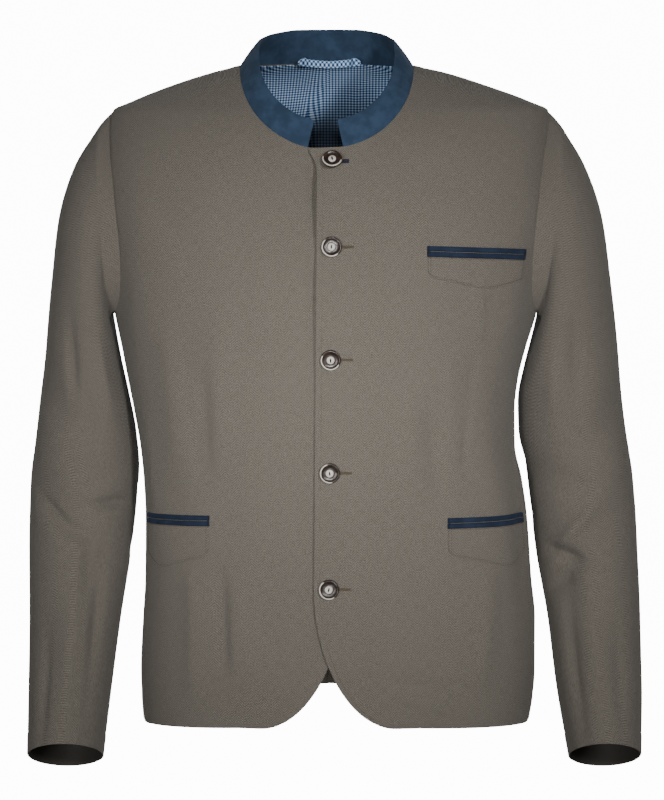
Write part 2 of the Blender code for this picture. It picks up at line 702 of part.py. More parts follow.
def collar_base():
    """Outer and inner points just above the neck edge, from the right collar end round to the left."""
    centre = Vector((NECK_CENTRE_X, -0.01, 0.0))
    right_front = past_edge(front_neck_places(-1), centre, under=True)
    left_front = past_edge(front_neck_places(1), centre)
    right_back = past_edge(back_neck_places(-1), centre)
    left_back = past_edge(back_neck_places(1), centre)
    right_back.reverse()
    left_front.reverse()
    edge = right_front + right_back[1:] + left_back[1:] + left_front[1:]
    return [(start.point, start.point - start.normal * WALL) for start in edge]


def collar_skins():
    """Outer and inner rows of the collar, from the neck edge to its top."""
    base = collar_base()
    centre = Vector((NECK_CENTRE_X, -0.015, 0.0))
    rows = COLLAR_ROWS + 1
    outer = [[] for _ in range(rows)]
    inner = [[] for _ in range(rows)]
    last = len(base) - 1
    for i, (start, start_inner) in enumerate(base):
        inward = Vector((centre.x - start.x, centre.y - start.y, 0.0)).normalized()
        angle = math.degrees(math.atan2(abs(start.x - centre.x), -(start.y - centre.y)))
        height = read_curve(*COLLAR_CURVES["height"], angle)
        lean = math.radians(read_curve(*COLLAR_CURVES["lean"], angle))
        rise = Vector((0.0, 0.0, 1.0)) * math.cos(lean) + inward * math.sin(lean)
        along = (base[min(last, i + 1)][0] - base[max(0, i - 1)][0]).normalized()
        taper = along * (-COLLAR_TAPER if i == 0 else COLLAR_TAPER if i == last else 0.0)
        normal = rise.cross(along).normalized()
        if normal.dot(inward) > 0.0:
            normal = -normal
        for k in range(rows):
            part = k / COLLAR_ROWS
            point = start + rise * height * part + taper * part
            first = smooth_step(part * COLLAR_ROWS)
            depth = (start_inner - start) * (1.0 - first) - normal * WALL * first
            outer[k].append(point)
            inner[k].append(point + depth)
    return outer, inner


def make_lining(material):
    """Lining of the upper back, one piece with a soft pleat down the middle, inside both backs."""
    outer, inner = [], []
    right_rows = back_rows(-1)[LINING_BOTTOM_ROW:]
    left_rows = back_rows(1)[LINING_BOTTOM_ROW:]
    for right, left in zip(right_rows, left_rows):
        places = right[:-1][::-1] + left[1:-1]
        outer_row, inner_row = [], []
        for angle, z in places:
            point = body_point(angle, z)
            normal = body_normal(angle, z)
            fall = smooth_step((NECK_BACK_Z - z) / LINING_PLEAT_START)
            pleat = LINING_PLEAT * fall * math.exp(-((180.0 - abs(angle)) / LINING_PLEAT_TURN) ** 2)
            point = point - normal * (WALL + SEAM_GAP + pleat)
            outer_row.append(point)
            inner_row.append(point - normal * LINING_WALL)
        outer.append(outer_row)
        inner.append(inner_row)
    return cloth_wall("lining_back", outer, inner, material)


def make_loop(tree, material):
    """Hanger loop: a flat band across the middle of the back neck, just below the collar seam."""
    outer, inner = [], []
    for row in range(2):
        outer_row, inner_row = [], []
        for k in range(LOOP_STEPS + 1):
            x = -LOOP_HALF + 2.0 * LOOP_HALF * k / LOOP_STEPS
            z = NECK_BACK_Z - LOOP_DROP - LOOP_HEIGHT * row
            turn = math.degrees(math.asin(abs(x) / body_value("left_half", z)))
            angle = (180.0 - turn) * (1.0 if x >= 0.0 else -1.0)
            normal = body_normal(angle, z)
            seat = tree.find_nearest(body_point(angle, z) - normal * LOOP_REACH)[0]
            point = seat - normal * (TRIM_GAP + LOOP_BULGE * math.sin(math.pi * k / LOOP_STEPS) ** 2)
            outer_row.append(point)
            inner_row.append(point - normal * LINING_WALL)
        outer.append(outer_row)
        inner.append(inner_row)
    return cloth_wall("hanger_loop", outer, inner, material)


def seat_on(panel_tree, angle, z):
    """The place on a panel's own faces next to a point of the body, and the way out of it."""
    normal = body_normal(angle, z)
    place = panel_tree.find_nearest(body_point(angle, z) + normal * WALL)[0]
    return place, normal


def trim_wall(name, tree, rows, wall, material):
    """A flat piece that lies on a panel: rows of places, moved out from the panel's faces."""
    outer, inner = [], []
    for row in rows:
        seats = [seat_on(tree, angle, z) for angle, z in row]
        inner.append([place + normal * TRIM_GAP for place, normal in seats])
        outer.append([place + normal * (TRIM_GAP + wall) for place, normal in seats])
    return cloth_wall(name, outer, inner, material)


def pocket_top(pocket, part):
    return pocket.top_inner + (pocket.top_outer - pocket.top_inner) * part


def pocket_row(pocket, drop_at, steps, inset=0.0):
    """Places across a pocket at a depth below its top edge, which may change along it."""
    row = []
    for k in range(steps + 1):
        part = k / steps
        z = pocket_top(pocket, part) - drop_at(part)
        start = abs(angle_at(pocket.side * (pocket.inner_x + inset), z))
        row.append((pocket.side * (start + (pocket.outer_angle - start) * part), z))
    return row


def flap_drop(pocket, part):
    """Depth of the flap below its top, with a blunt point."""
    if part < pocket.point_place:
        return pocket.drop + (pocket.point - pocket.drop) * part / pocket.point_place
    rest = (1.0 - part) / (1.0 - pocket.point_place)
    return pocket.drop + (pocket.point - pocket.drop) * rest


def make_pocket(pocket, tree, materials):
    """Two pipings, one above the other, and the flap that hangs below them."""
    for k, place in enumerate(("upper", "lower")):
        top = k * (PIPING_HEIGHT + PIPING_SLIT)
        rows = [pocket_row(pocket, lambda part, d=depth: d, PIPING_STEPS)
                for depth in (top, top + PIPING_HEIGHT)]
        name = pocket.name + "_piping_" + place
        trim_wall(name, tree, rows, PIPING_WALL, materials["velvet_blue"])
    start = 2.0 * PIPING_HEIGHT + PIPING_SLIT + SEAM_GAP
    rows = []
    for k in range(FLAP_ROWS + 1):
        share = k / FLAP_ROWS
        rows.append(pocket_row(
            pocket, lambda part, s=share: start + s * flap_drop(pocket, part), FLAP_STEPS, FLAP_INSET))
    trim_wall(pocket.name + "_flap", tree, rows, TRIM_WALL, materials["cloth"])


def button_profile():
    """Half outline of a button, from the middle of its face round its rim to the middle of its back."""
    r = BUTTON_RADIUS
    return ((0.0, 0.0030), (0.30 * r, 0.0030), (0.62 * r, 0.0024), (0.80 * r, 0.0036),
            (0.94 * r, 0.0034), (r, 0.0020), (0.90 * r, 0.0004), (0.40 * r, 0.0), (0.0, 0.0))


def make_button(number, z, tree, material):
    """A round button on the over front, turned about its own axis."""
    angle = angle_at(closing_x(z) + BUTTON_X, z)
    seat, normal = seat_on(tree, angle, z)
    mesh = bpy.data.meshes.new("button_%d" % number)
    outline = [(radius, 0.0, height) for radius, height in button_profile()]
    mesh.from_pydata(outline, [(i, i + 1) for i in range(len(outline) - 1)], [])
    button = new_object("button_%d" % number, mesh, material)
    screw = button.modifiers.new("turned", "SCREW")
    screw.axis = "Z"
    screw.steps = BUTTON_STEPS
    screw.render_steps = BUTTON_STEPS
    screw.use_merge_vertices = True
    screw.merge_threshold = SCREW_MERGE
    screw.use_smooth_shade = True
    button.location = seat + normal * BUTTON_LIFT
    button.rotation_mode = "QUATERNION"
    button.rotation_quaternion = normal.to_track_quat("Z", "Y")
    return button


def panel_tree(panel):
    """The faces of a panel, for finding places on it."""
    mesh = panel.data
    points = [vertex.co.copy() for vertex in mesh.vertices]
    return BVHTree.FromPolygons(points, [tuple(face.vertices) for face in mesh.polygons])


def main():
    clear_scene()
    collection = bpy.data.collections.new(NAME)
    bpy.context.scene.collection.children.link(collection)
    materials = {name: make_material(name, finish) for name, finish in FINISHES.items()}
    cloth = materials["cloth"]
    trees = {}
    for side in (-1, 1):
        trees[side] = panel_tree(make_front(side, cloth))
        make_back(side, cloth)
        make_sleeve(side, cloth)
    cloth_wall("collar", *collar_skins(), materials["velvet_blue"])
    lining = make_lining(materials["gingham"])
    make_loop(panel_tree(lining), materials["gingham"])
    for pocket in POCKETS:
        make_pocket(pocket, trees[pocket.side], materials)
    for number, z in enumerate(BUTTON_HEIGHTS, 1):
        make_button(number, z, trees[1], materials["horn"])


main()
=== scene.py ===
"""Trachten jacket, dressed: fine cloth, collar, lining, pockets, buttons and sewing on the packed form.

Metres, +Z up, the front faces -Y. Left and right are the wearer's, so left is +X.
The body is one smooth form, read by an angle round it (0 at the centre front, +90 at the left side)
and a height. Every cloth piece is a thin shell on that form, with its folds laid one by one.
"""

from collections import namedtuple

import bpy
import numpy as np
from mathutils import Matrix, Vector


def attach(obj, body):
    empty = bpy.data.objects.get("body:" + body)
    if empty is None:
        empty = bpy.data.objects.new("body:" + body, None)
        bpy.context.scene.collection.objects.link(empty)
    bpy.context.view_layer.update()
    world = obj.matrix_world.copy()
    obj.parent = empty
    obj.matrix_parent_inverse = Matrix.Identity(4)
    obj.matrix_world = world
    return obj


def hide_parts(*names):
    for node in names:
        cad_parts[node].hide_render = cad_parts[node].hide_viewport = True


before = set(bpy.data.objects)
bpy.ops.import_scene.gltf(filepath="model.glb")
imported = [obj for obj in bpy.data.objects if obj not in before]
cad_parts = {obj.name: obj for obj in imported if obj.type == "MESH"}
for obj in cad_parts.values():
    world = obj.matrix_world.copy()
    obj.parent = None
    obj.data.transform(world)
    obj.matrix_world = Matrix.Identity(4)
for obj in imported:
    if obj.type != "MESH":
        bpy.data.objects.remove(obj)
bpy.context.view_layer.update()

bl_info = {
    "name": "Trachten Jacket",
    "version": (1, 0, 0),
    "blender": (4, 5, 0),
    "location": "View3D > Sidebar > Jacket",
    "description": "Builds the cloth, trim, buttons and sewing of a stand-collar trachten jacket",
    "category": "Object",
}

# Cloth thicknesses and gaps
WALL = 0.0018
LINING_WALL = 0.0010
PIPING_WALL = 0.0020
SEAM_GAP = 0.0003
SEWN_GAP = 0.00006
TUCK = 0.0006
TUCK_DEPTH = 0.0007
TRIM_GAP = 0.0006
LAP_DEPTH = WALL + 0.0011

# Heights of the main lines
HEM_FRONT_Z = -0.674
HEM_SIDE_Z = -0.682
HEM_BACK_Z = -0.669
ARMPIT_Z = -0.252
SHOULDER_Z = -0.0446
NECK_SIDE_Z = 0.003
NECK_FRONT_Z = -0.082
NECK_BACK_Z = 0.007

# Neck opening, side seams and armholes
NECK_CENTRE_X = -0.0045
NECK_HALF = 0.0900
SIDE_SEAM_ARMPIT = 80.0
SIDE_SEAM_HIP = 71.0
SIDE_SEAM_HIP_Z = -0.440
SHOULDER_SEAM = 90.0
ARMHOLE_FRONT = 23.0
ARMHOLE_BACK = 29.0

# Front edges
LAP_HALF = 0.0150
CUTAWAY_TOP_Z = -0.535
CUTAWAY_WIDTH = 0.0850
CUTAWAY_POWER = 1.85
CORNER_FLARE = 0.0085
CORNER_FLARE_HEIGHT = 0.012
CLOSING_TOP_X = 0.0008
CLOSING_TOP_Z = -0.095
CLOSING_LOW_X = -0.0026
CLOSING_LOW_Z = -0.530
LAP_FADE_START = 0.056
LAP_FADE_WIDTH = 0.036
EDGE_LIFT_HIGH = 0.0055
EDGE_LIFT_LOW = 0.0022
EDGE_LIFT_REACH = 0.011
TROUGH_EVERYWHERE = 0.0010
TROUGH_HIGH = 0.0034
TROUGH_LOW = 0.0026
EDGE_SEWING = 0.0062
EDGE_COLUMNS = np.array((-LAP_HALF, 0.0, LAP_HALF, 0.038, 0.064, 0.092))
LAP_COLUMNS = 3
TILT_COLUMNS = 2
FRONT_SIDE_COLUMNS = 7
BACK_COLUMNS = 10

# Rows of a panel: hem to armpit, armpit to neck, neck to shoulder
LOWER_HEIGHTS = np.array(
    (0.0, 0.0025, 0.008, 0.018, 0.034, 0.062, 0.100, 0.146, 0.190, 0.232, 0.272, 0.312, 0.352, 0.388))
BELOW_ARMPIT = 0.028
ARMPIT_EDGE_RISE = 0.030
ARM_STEPS = 12
FRONT_RISE_STEPS = 5
BACK_RISE_STEPS = 7
BACK_RISE_EASE = 1.7
ARMPIT_ROW = len(LOWER_HEIGHTS)
FRONT_NECK_ROW = ARMPIT_ROW + FRONT_RISE_STEPS + 1
BACK_NECK_ROW = ARMPIT_ROW + BACK_RISE_STEPS
LAST_ROW = ARMPIT_ROW + ARM_STEPS
NORMAL_TURN = 0.5
NORMAL_RISE = 0.0012

# Collar, sleeves and lining
COLLAR_GAP_RIGHT = -0.0236
COLLAR_GAP_LEFT = 0.0123
COLLAR_TAPER = 0.0045
COLLAR_FULLNESS = 0.0008
FRONT_SLEEVE_SEAM = 11
BACK_SLEEVE_SEAM = 18
FRONT_SEAM_TURN = 35.0
BACK_SEAM_TURN = 104.0
SEAM_SWING_START = 0.5
SEAM_SWING_LENGTH = 7.0
LINING_BOTTOM_ROW = 13
LINING_NECK_SHARE = 0.47
LINING_PLEAT = 0.0022
LINING_PLEAT_START = 0.06
LINING_PLEAT_TURN = 14.0
PLEAT_X = -0.002
PLEAT_LEAN = 0.27
PLEAT_STEP = 0.0026
LOOP_HALF = 0.0340
LOOP_HEIGHT = 0.0078
LOOP_DROP = -0.0064
LOOP_SHIFT = -0.0018
LOOP_BULGE = 0.0016

# Buttons
BUTTON_X = 0.0003
BUTTON_HEIGHTS = (-0.0950, -0.1810, -0.2950, -0.4110, -0.5300)
BUTTON_RADIUS = 0.0105
BUTTON_LIFT = 0.0006
BUTTON_SIDES = 72
SLOT_SIDES = 20
SLOT_HALF_WIDTH = 0.00085
SLOT_HALF_LENGTH = 0.00225
TOP_BUTTON_TIP = 20.0
TOP_BUTTON_LIFT = 0.0028
# Turns of each button's painted highlight on its bevel, in degrees
BUTTON_HIGHLIGHT_TURNS = (-150.0, 178.0, 195.0, 150.0, 170.0)

BodyRing = namedtuple("BodyRing", "z right_half left_half front_depth back_depth squareness")
BODY_RINGS = tuple(BodyRing(*row) for row in (
    (-0.700, 0.1965, 0.2060, 0.1250, 0.1230, 2.5),
    (-0.631, 0.2005, 0.2150, 0.1250, 0.1220, 2.5),
    (-0.575, 0.1980, 0.2150, 0.1240, 0.1190, 2.5),
    (-0.534, 0.1955, 0.2110, 0.1230, 0.1150, 2.5),
    (-0.467, 0.1948, 0.2060, 0.1210, 0.1080, 2.5),
    (-0.429, 0.1965, 0.2005, 0.1205, 0.1045, 2.5),
    (-0.393, 0.2000, 0.1930, 0.1215, 0.1045, 2.5),
    (-0.355, 0.2065, 0.1925, 0.1240, 0.1075, 2.5),
    (-0.324, 0.2122, 0.1955, 0.1270, 0.1110, 2.5),
    (-0.290, 0.2185, 0.2035, 0.1300, 0.1150, 2.5),
    (-0.255, 0.2255, 0.2140, 0.1320, 0.1190, 2.5),
    (-0.205, 0.2335, 0.2220, 0.1310, 0.1230, 2.6),
    (-0.150, 0.2375, 0.2270, 0.1250, 0.1240, 2.6),
    (-0.105, 0.2375, 0.2285, 0.1135, 0.1200, 2.5),
    (-0.075, 0.2350, 0.2285, 0.1020, 0.1140, 2.4),
    (-0.0446, 0.2270, 0.2262, 0.0810, 0.1040, 2.2),
    (-0.0328, 0.2036, 0.2030, 0.0690, 0.0980, 2.1),
    (-0.0187, 0.1680, 0.1640, 0.0540, 0.0890, 2.0),
    (-0.0045, 0.1240, 0.1190, 0.0340, 0.0750, 2.0),
    (0.0030, 0.0945, 0.0855, 0.0180, 0.0640, 2.0),
    (0.0120, 0.0640, 0.0560, 0.0080, 0.0500, 2.0),
))

# Soft folds of the body: depth is outwards, lean is in degrees round the body for a metre of fall
Fold = namedtuple("Fold", "angle top bottom half_width depth lean")
BODY_FOLDS = tuple(Fold(*row) for row in (
    (-34.0, -0.300, -0.620, 7.0, -0.0030, 20.0),
    (-58.0, -0.120, -0.330, 8.0, -0.0035, -60.0),
    (-66.0, -0.330, -0.520, 6.0, 0.0025, 30.0),
    (27.0, -0.330, -0.640, 6.0, -0.0030, -30.0),
    (46.0, -0.240, -0.560, 7.0, 0.0030, 20.0),
    (60.0, -0.150, -0.340, 7.0, -0.0030, 50.0),
    (68.0, -0.340, -0.640, 6.0, -0.0025, -20.0),
    (118.0, -0.220, -0.560, 8.0, -0.0035, -50.0),
    (-122.0, -0.240, -0.600, 8.0, -0.0035, 60.0),
    (146.0, -0.340, -0.660, 8.0, 0.0030, 20.0),
    (-150.0, -0.300, -0.640, 8.0, 0.0030, -25.0),
    (165.0, -0.380, -0.680, 6.0, -0.0020, 0.0),
))

# Creases, darts and wrinkles as lines seen from the front or the back; depth is outwards
Line = namedtuple("Line", "x_top z_top x_bottom z_bottom half_width depth")
FRONT_LINES = tuple(Line(*row) for row in (
    (-0.149, -0.265, -0.135, -0.452, 0.0016, -0.0012),
    (0.151, -0.225, 0.130, -0.452, 0.0016, -0.0012),
    (-0.118, -0.225, -0.110, -0.430, 0.0120, 0.0016),
    (-0.137, -0.300, -0.128, -0.440, 0.0090, -0.0016),
    (-0.168, -0.250, -0.160, -0.420, 0.0100, 0.0012),
    (-0.120, -0.500, -0.106, -0.630, 0.0080, -0.0022),
    (-0.100, -0.520, -0.086, -0.640, 0.0110, 0.0016),
    (-0.146, -0.500, -0.142, -0.660, 0.0090, 0.0014),
    (-0.052, -0.140, -0.078, -0.300, 0.0160, 0.0010),
    (-0.060, -0.480, -0.050, -0.640, 0.0140, -0.0010),
    (-0.185, -0.130, -0.130, -0.210, 0.0120, -0.0014),
    (-0.150, -0.080, -0.105, -0.150, 0.0140, 0.0010),
    (0.152, -0.215, 0.146, -0.290, 0.0035, 0.0014),
    (0.086, -0.300, 0.080, -0.520, 0.0120, 0.0016),
    (0.108, -0.350, 0.112, -0.455, 0.0090, -0.0018),
    (0.124, -0.280, 0.118, -0.420, 0.0090, 0.0010),
    (0.112, -0.510, 0.104, -0.640, 0.0120, -0.0014),
    (0.160, -0.500, 0.152, -0.650, 0.0100, 0.0014),
    (0.060, -0.120, 0.120, -0.150, 0.0120, 0.0012),
    (0.090, -0.105, 0.170, -0.125, 0.0110, -0.0012),
    (0.200, -0.130, 0.150, -0.165, 0.0100, -0.0010),
    (0.050, -0.625, 0.140, -0.636, 0.0070, -0.0018),
    (0.060, -0.640, 0.128, -0.652, 0.0070, 0.0014),
    (0.030, -0.180, 0.045, -0.420, 0.0180, 0.0008),
))
BACK_LINES = tuple(Line(*row) for row in (
    (0.040, -0.110, 0.110, -0.150, 0.0140, -0.0014),
    (-0.050, -0.115, -0.125, -0.170, 0.0150, -0.0014),
    (0.140, -0.200, 0.095, -0.380, 0.0130, 0.0018),
    (-0.145, -0.190, -0.100, -0.360, 0.0130, 0.0018),
    (0.070, -0.330, 0.060, -0.560, 0.0130, -0.0016),
    (-0.062, -0.340, -0.074, -0.590, 0.0120, -0.0016),
    (0.120, -0.420, 0.128, -0.640, 0.0130, 0.0014),
    (-0.116, -0.430, -0.122, -0.650, 0.0120, 0.0014),
    (0.020, -0.390, 0.090, -0.405, 0.0090, -0.0012),
    (-0.024, -0.405, -0.100, -0.395, 0.0090, -0.0012),
))

SleeveRing = namedtuple(
    "SleeveRing", "outer_right outer_left outer_z inner_right inner_left inner_z centre_y half_depth tilt")
SLEEVE_RINGS = tuple(SleeveRing(*row) for row in (
    (0.2440, 0.2425, -0.0640, 0.2310, 0.2190, -0.2630, -0.002, 0.0640, 0.00),
    (0.2680, 0.2655, -0.1030, 0.2245, 0.2105, -0.2860, 0.000, 0.0690, 0.00),
    (0.2845, 0.2835, -0.1560, 0.2180, 0.2020, -0.3150, 0.003, 0.0720, 0.00),
    (0.2930, 0.2935, -0.2250, 0.2115, 0.1968, -0.3450, 0.006, 0.0730, 0.02),
    (0.3010, 0.3025, -0.3000, 0.2055, 0.1980, -0.3800, 0.010, 0.0715, 0.05),
    (0.3090, 0.3095, -0.3700, 0.2025, 0.2055, -0.4150, 0.013, 0.0690, 0.10),
    (0.3165, 0.3190, -0.4350, 0.2048, 0.2100, -0.4500, 0.012, 0.0660, 0.16),
    (0.3178, 0.3225, -0.5000, 0.2105, 0.2160, -0.5050, 0.002, 0.0620, 0.22),
    (0.3165, 0.3245, -0.5700, 0.2205, 0.2275, -0.5720, -0.016, 0.0580, 0.28),
    (0.3160, 0.3250, -0.6400, 0.2290, 0.2355, -0.6400, -0.037, 0.0545, 0.34),
    (0.3158, 0.3225, -0.7135, 0.2374, 0.2479, -0.7125, -0.060, 0.0520, 0.42),
))

# Creases of a sleeve: along counts rings of the table, around is in degrees from the outer side
Crease = namedtuple("Crease", "along around half_along half_around depth slant")
LEFT_CREASE_SHIFT = 0.35
SLEEVE_CREASES = tuple(Crease(*row) for row in (
    (4.6, 60.0, 0.45, 46.0, -0.0035, 0.010),
    (5.6, 105.0, 0.40, 42.0, -0.0045, -0.008),
    (6.5, 80.0, 0.40, 50.0, -0.0045, 0.012),
    (7.5, 110.0, 0.40, 40.0, -0.0035, -0.010),
    (8.8, 70.0, 0.50, 40.0, -0.0025, 0.008),
    (3.0, 75.0, 0.60, 40.0, -0.0030, -0.012),
    (5.2, 255.0, 0.50, 44.0, -0.0030, 0.010),
    (6.8, 285.0, 0.50, 46.0, 0.0030, -0.010),
    (2.4, 250.0, 0.60, 44.0, -0.0030, 0.012),
))
FINE_CREASES_RIGHT = tuple(Crease(*row) for row in (
    (6.25, 128.0, 0.11, 26.0, -0.0034, -0.004),
    (6.55, 62.0, 0.13, 22.0, -0.0034, 0.012),
    (6.85, 92.0, 0.12, 24.0, -0.0018, 0.002),
    (3.60, 72.0, 0.50, 9.0, -0.0026, 0.030),
    (4.40, 96.0, 0.60, 10.0, -0.0018, 0.020),
    (3.10, 118.0, 0.70, 10.0, 0.0016, 0.020),
    (8.20, 124.0, 0.90, 8.0, -0.0020, 0.000),
    (9.20, 58.0, 0.80, 9.0, -0.0018, 0.000),
    (8.60, 92.0, 1.10, 13.0, 0.0018, 0.000),
    (7.40, 108.0, 0.50, 10.0, -0.0016, 0.010),
    (6.10, 250.0, 0.14, 40.0, -0.0028, 0.006),
    (6.70, 235.0, 0.13, 38.0, -0.0026, -0.005),
    (5.40, 262.0, 0.16, 36.0, -0.0022, 0.008),
))
FINE_CREASES_LEFT = tuple(Crease(*row) for row in (
    (7.20, 122.0, 0.14, 24.0, -0.0046, -0.006),
    (6.75, 106.0, 0.16, 30.0, 0.0022, 0.014),
    (7.55, 135.0, 0.15, 22.0, -0.0022, 0.004),
    (3.40, 84.0, 0.70, 9.0, -0.0024, -0.010),
    (3.60, 112.0, 0.60, 9.0, 0.0016, -0.008),
    (4.60, 96.0, 0.60, 10.0, -0.0014, -0.012),
    (8.40, 100.0, 1.10, 12.0, 0.0016, 0.000),
    (8.80, 128.0, 1.00, 9.0, -0.0018, 0.000),
    (9.00, 66.0, 0.80, 10.0, -0.0014, 0.000),
    (6.00, 248.0, 0.15, 42.0, -0.0028, -0.006),
    (6.60, 262.0, 0.14, 36.0, -0.0026, 0.005),
    (5.30, 240.0, 0.16, 36.0, -0.0022, 0.008),
))

# Wrinkles of the lining, which lean across as they go down; drop is the depth below the neck edge
Wrinkle = namedtuple("Wrinkle", "share x lean half_width drop half_drop")
LINING_WRINKLES = tuple(Wrinkle(*row) for row in (
    (1.0, -0.036, 0.75, 0.0045, 0.018, 0.016),
    (0.8, -0.050, -0.45, 0.0040, 0.030, 0.018),
    (0.9, 0.046, -0.55, 0.0038, 0.026, 0.016),
    (0.6, 0.020, 0.25, 0.0060, 0.045, 0.022),
))
WRINKLE_DEPTH = 0.0013

CollarPart = namedtuple("CollarPart", "angle height lean")
COLLAR_PARTS = tuple(CollarPart(*row) for row in (
    (0.0, 0.0310, 18.0),
    (60.0, 0.0335, 30.0),
    (100.0, 0.0345, 37.0),
    (125.0, 0.0380, 29.0),
    (145.0, 0.0384, 22.0),
    (160.0, 0.0370, 17.0),
    (180.0, 0.0358, 12.0),
))

# Pockets: ends are distances from the centre line, drop is the flap's depth at its corner and point
Pocket = namedtuple("Pocket", "name side inner_x outer_angle top_inner top_outer drop point point_place")
POCKETS = tuple(Pocket(*row) for row in (
    ("chest", 1, 0.0970, 55.5, -0.1800, -0.1850, 0.0200, 0.0310, 0.55),
    ("hip_left", 1, 0.1190, 69.6, -0.4585, -0.4600, 0.0270, 0.0430, 0.66),
    ("hip_right", -1, 0.1250, 69.6, -0.4565, -0.4600, 0.0300, 0.0450, 0.66),
))
PIPING_HEIGHT = 0.0052
PIPING_SLIT = 0.0006
FLAP_START = 2.0 * PIPING_HEIGHT + PIPING_SLIT + SEAM_GAP
FLAP_INSET = 0.001
FLAP_WALL = 0.0010
POCKET_WIDTH = 0.095

# Spacing of the fine grids, and the distances from an edge at which it is rounded
GRID_STEP = 0.0042
TRIM_STEP = 0.0030
KNOTS_BETWEEN_ROWS = 4
EDGE_STEPS = np.array((0.0, 0.0003, 0.0007, 0.0012, 0.0020, 0.0032))
EDGE_ROUND = 0.0010
SEWN_ROUND = 0.0004
GROOVE_DEPTH = 0.0004
GROOVE_WIDTH = 0.0014
SEAM_RELIEF = 0.00035
PANEL_TURNING = 0.011
SLEEVE_TURNING = 0.010
PANEL_HEM = 0.00045
SLEEVE_HEM = 0.0004
HEM_GROOVE = 0.0005

# Stitches across a slit or an end, and the buttonholes' reach from their button's middle
Stitch = namedtuple("Stitch", "spacing length thickness quarter_turns")
TACK_STITCH = Stitch(0.00055, 0.0021, 0.0006, 1.0)
HOLE_STITCH = Stitch(0.00062, 0.0015, 0.0005, 1.0)
TOP_HOLE_STITCH = Stitch(0.00062, 0.0024, 0.0007, 1.0)
STITCH_SEED = 7
THREAD_LIFT = 0.00025
HOLE_START = 0.0085
HOLE_END = 0.0225
HOLE_HALF = 0.0007
TOP_HOLE_END = 0.0170
TOP_HOLE_HALF = 0.0010

# Camera, as the photograph has it: distance, tilt, and the point that it looks at
CAMERA_DISTANCE = 3.5
CAMERA_TILT = 5.0
CAMERA_AIM_Z = -0.3469
CAMERA_LENS = 150.0
CAMERA_SENSOR = 36.0
CAMERA_SHIFT_X = 0.00125
LIGHT_AIM_Z = -0.34
CHEST_LIGHT = (0.0, -3.9, 0.1)
CHEST_CONE = 9.6
SIDES = ((-1, "right"), (1, "left"))


# The form


def smooth_step(value):
    value = np.clip(value, 0.0, 1.0)
    return value * value * (3.0 - 2.0 * value)


def curve_slopes(places, values):
    """Slopes of a smooth curve through the points, with no overshoot between them."""
    steps = np.diff(values) / np.diff(places)
    slopes = [steps[0]]
    for before, after in zip(steps, steps[1:]):
        slopes.append(0.0 if before * after <= 0.0 else 2.0 * before * after / (before + after))
    slopes.append(steps[-1])
    return np.array(slopes)


def read_curve(places, values, slopes, place):
    """Values of the smooth curve at places."""
    place = np.clip(place, places[0], places[-1])
    i = np.clip(np.searchsorted(places, place) - 1, 0, len(places) - 2)
    width = places[i + 1] - places[i]
    t = (place - places[i]) / width
    rest = 1.0 - t
    start = (1.0 + 2.0 * t) * rest * rest * values[i] + t * rest * rest * width * slopes[i]
    end = t * t * (3.0 - 2.0 * t) * values[i + 1] - t * t * rest * width * slopes[i + 1]
    return start + end


def curves_of(rows, places):
    """One smooth curve for each column of a table, over the places of its rows."""
    curves = {}
    for column in rows[0]._fields:
        values = np.array([getattr(row, column) for row in rows])
        curves[column] = (places, values, curve_slopes(places, values))
    return curves


BODY_CURVES = curves_of(BODY_RINGS, np.array([ring.z for ring in BODY_RINGS]))
COLLAR_CURVES = curves_of(COLLAR_PARTS, np.array([part.angle for part in COLLAR_PARTS]))
SLEEVE_CURVES = curves_of(SLEEVE_RINGS, np.arange(len(SLEEVE_RINGS), dtype=float))


def body_value(column, z):
    return read_curve(*BODY_CURVES[column], z)


def fold_height(angle, z):
    """How far the large folds lift the cloth."""
    height = np.zeros(np.broadcast(angle, z).shape)
    for fold in BODY_FOLDS:
        along = np.clip((fold.top - z) / (fold.top - fold.bottom), 0.0, 1.0)
        middle = fold.angle + fold.lean * (fold.top - z)
        across = (angle - middle) / fold.half_width
        height += fold.depth * np.sin(np.pi * along) ** 2 * np.exp(-across * across)
    return height


def line_height(lines, x, z):
    """How far creases, drawn as lines seen from one side, lift the cloth."""
    height = np.zeros(np.broadcast(x, z).shape)
    for line in lines:
        way = np.array((line.x_bottom - line.x_top, line.z_bottom - line.z_top))
        length = np.hypot(*way)
        way = way / length
        along = ((x - line.x_top) * way[0] + (z - line.z_top) * way[1]) / length
        across = ((x - line.x_top) * way[1] - (z - line.z_top) * way[0]) / line.half_width
        bow = 0.35 * np.sin(3.0 * along + 40.0 * line.x_top)
        fade = smooth_step(along / 0.22) * smooth_step((1.0 - along) / 0.30)
        height += line.depth * fade * np.exp(-(across + bow) ** 2)
    return height


def body_point(angle, z, creased=True):
    """Points of the outer face of the body at angles in degrees and heights."""
    angle, z = np.broadcast_arrays(np.asarray(angle, float), np.asarray(z, float))
    turn = np.radians(angle)
    half = np.where(angle > 0.0, body_value("left_half", z), body_value("right_half", z))
    in_front = np.abs(angle) < SHOULDER_SEAM
    depth = np.where(in_front, body_value("front_depth", z), body_value("back_depth", z))
    power = body_value("squareness", z)
    sine, cosine = np.sin(turn), np.cos(turn)
    reach = (np.abs(sine) ** power + np.abs(cosine) ** power) ** (-1.0 / power)
    x = half * reach * sine
    height = fold_height(angle, z)
    if creased:
        strength = bpy.context.scene.jacket_cloth.crease_strength
        lines = np.where(in_front, line_height(FRONT_LINES, x, z), line_height(BACK_LINES, x, z))
        height = height + strength * lines * smooth_step(np.abs(90.0 - np.abs(angle)) / 6.0)
    lift = 1.0 + height / half
    return np.stack((x * lift, -depth * reach * cosine * lift, z), -1)


def unit(vectors):
    return vectors / np.maximum(np.linalg.norm(vectors, axis=-1, keepdims=True), 1e-12)


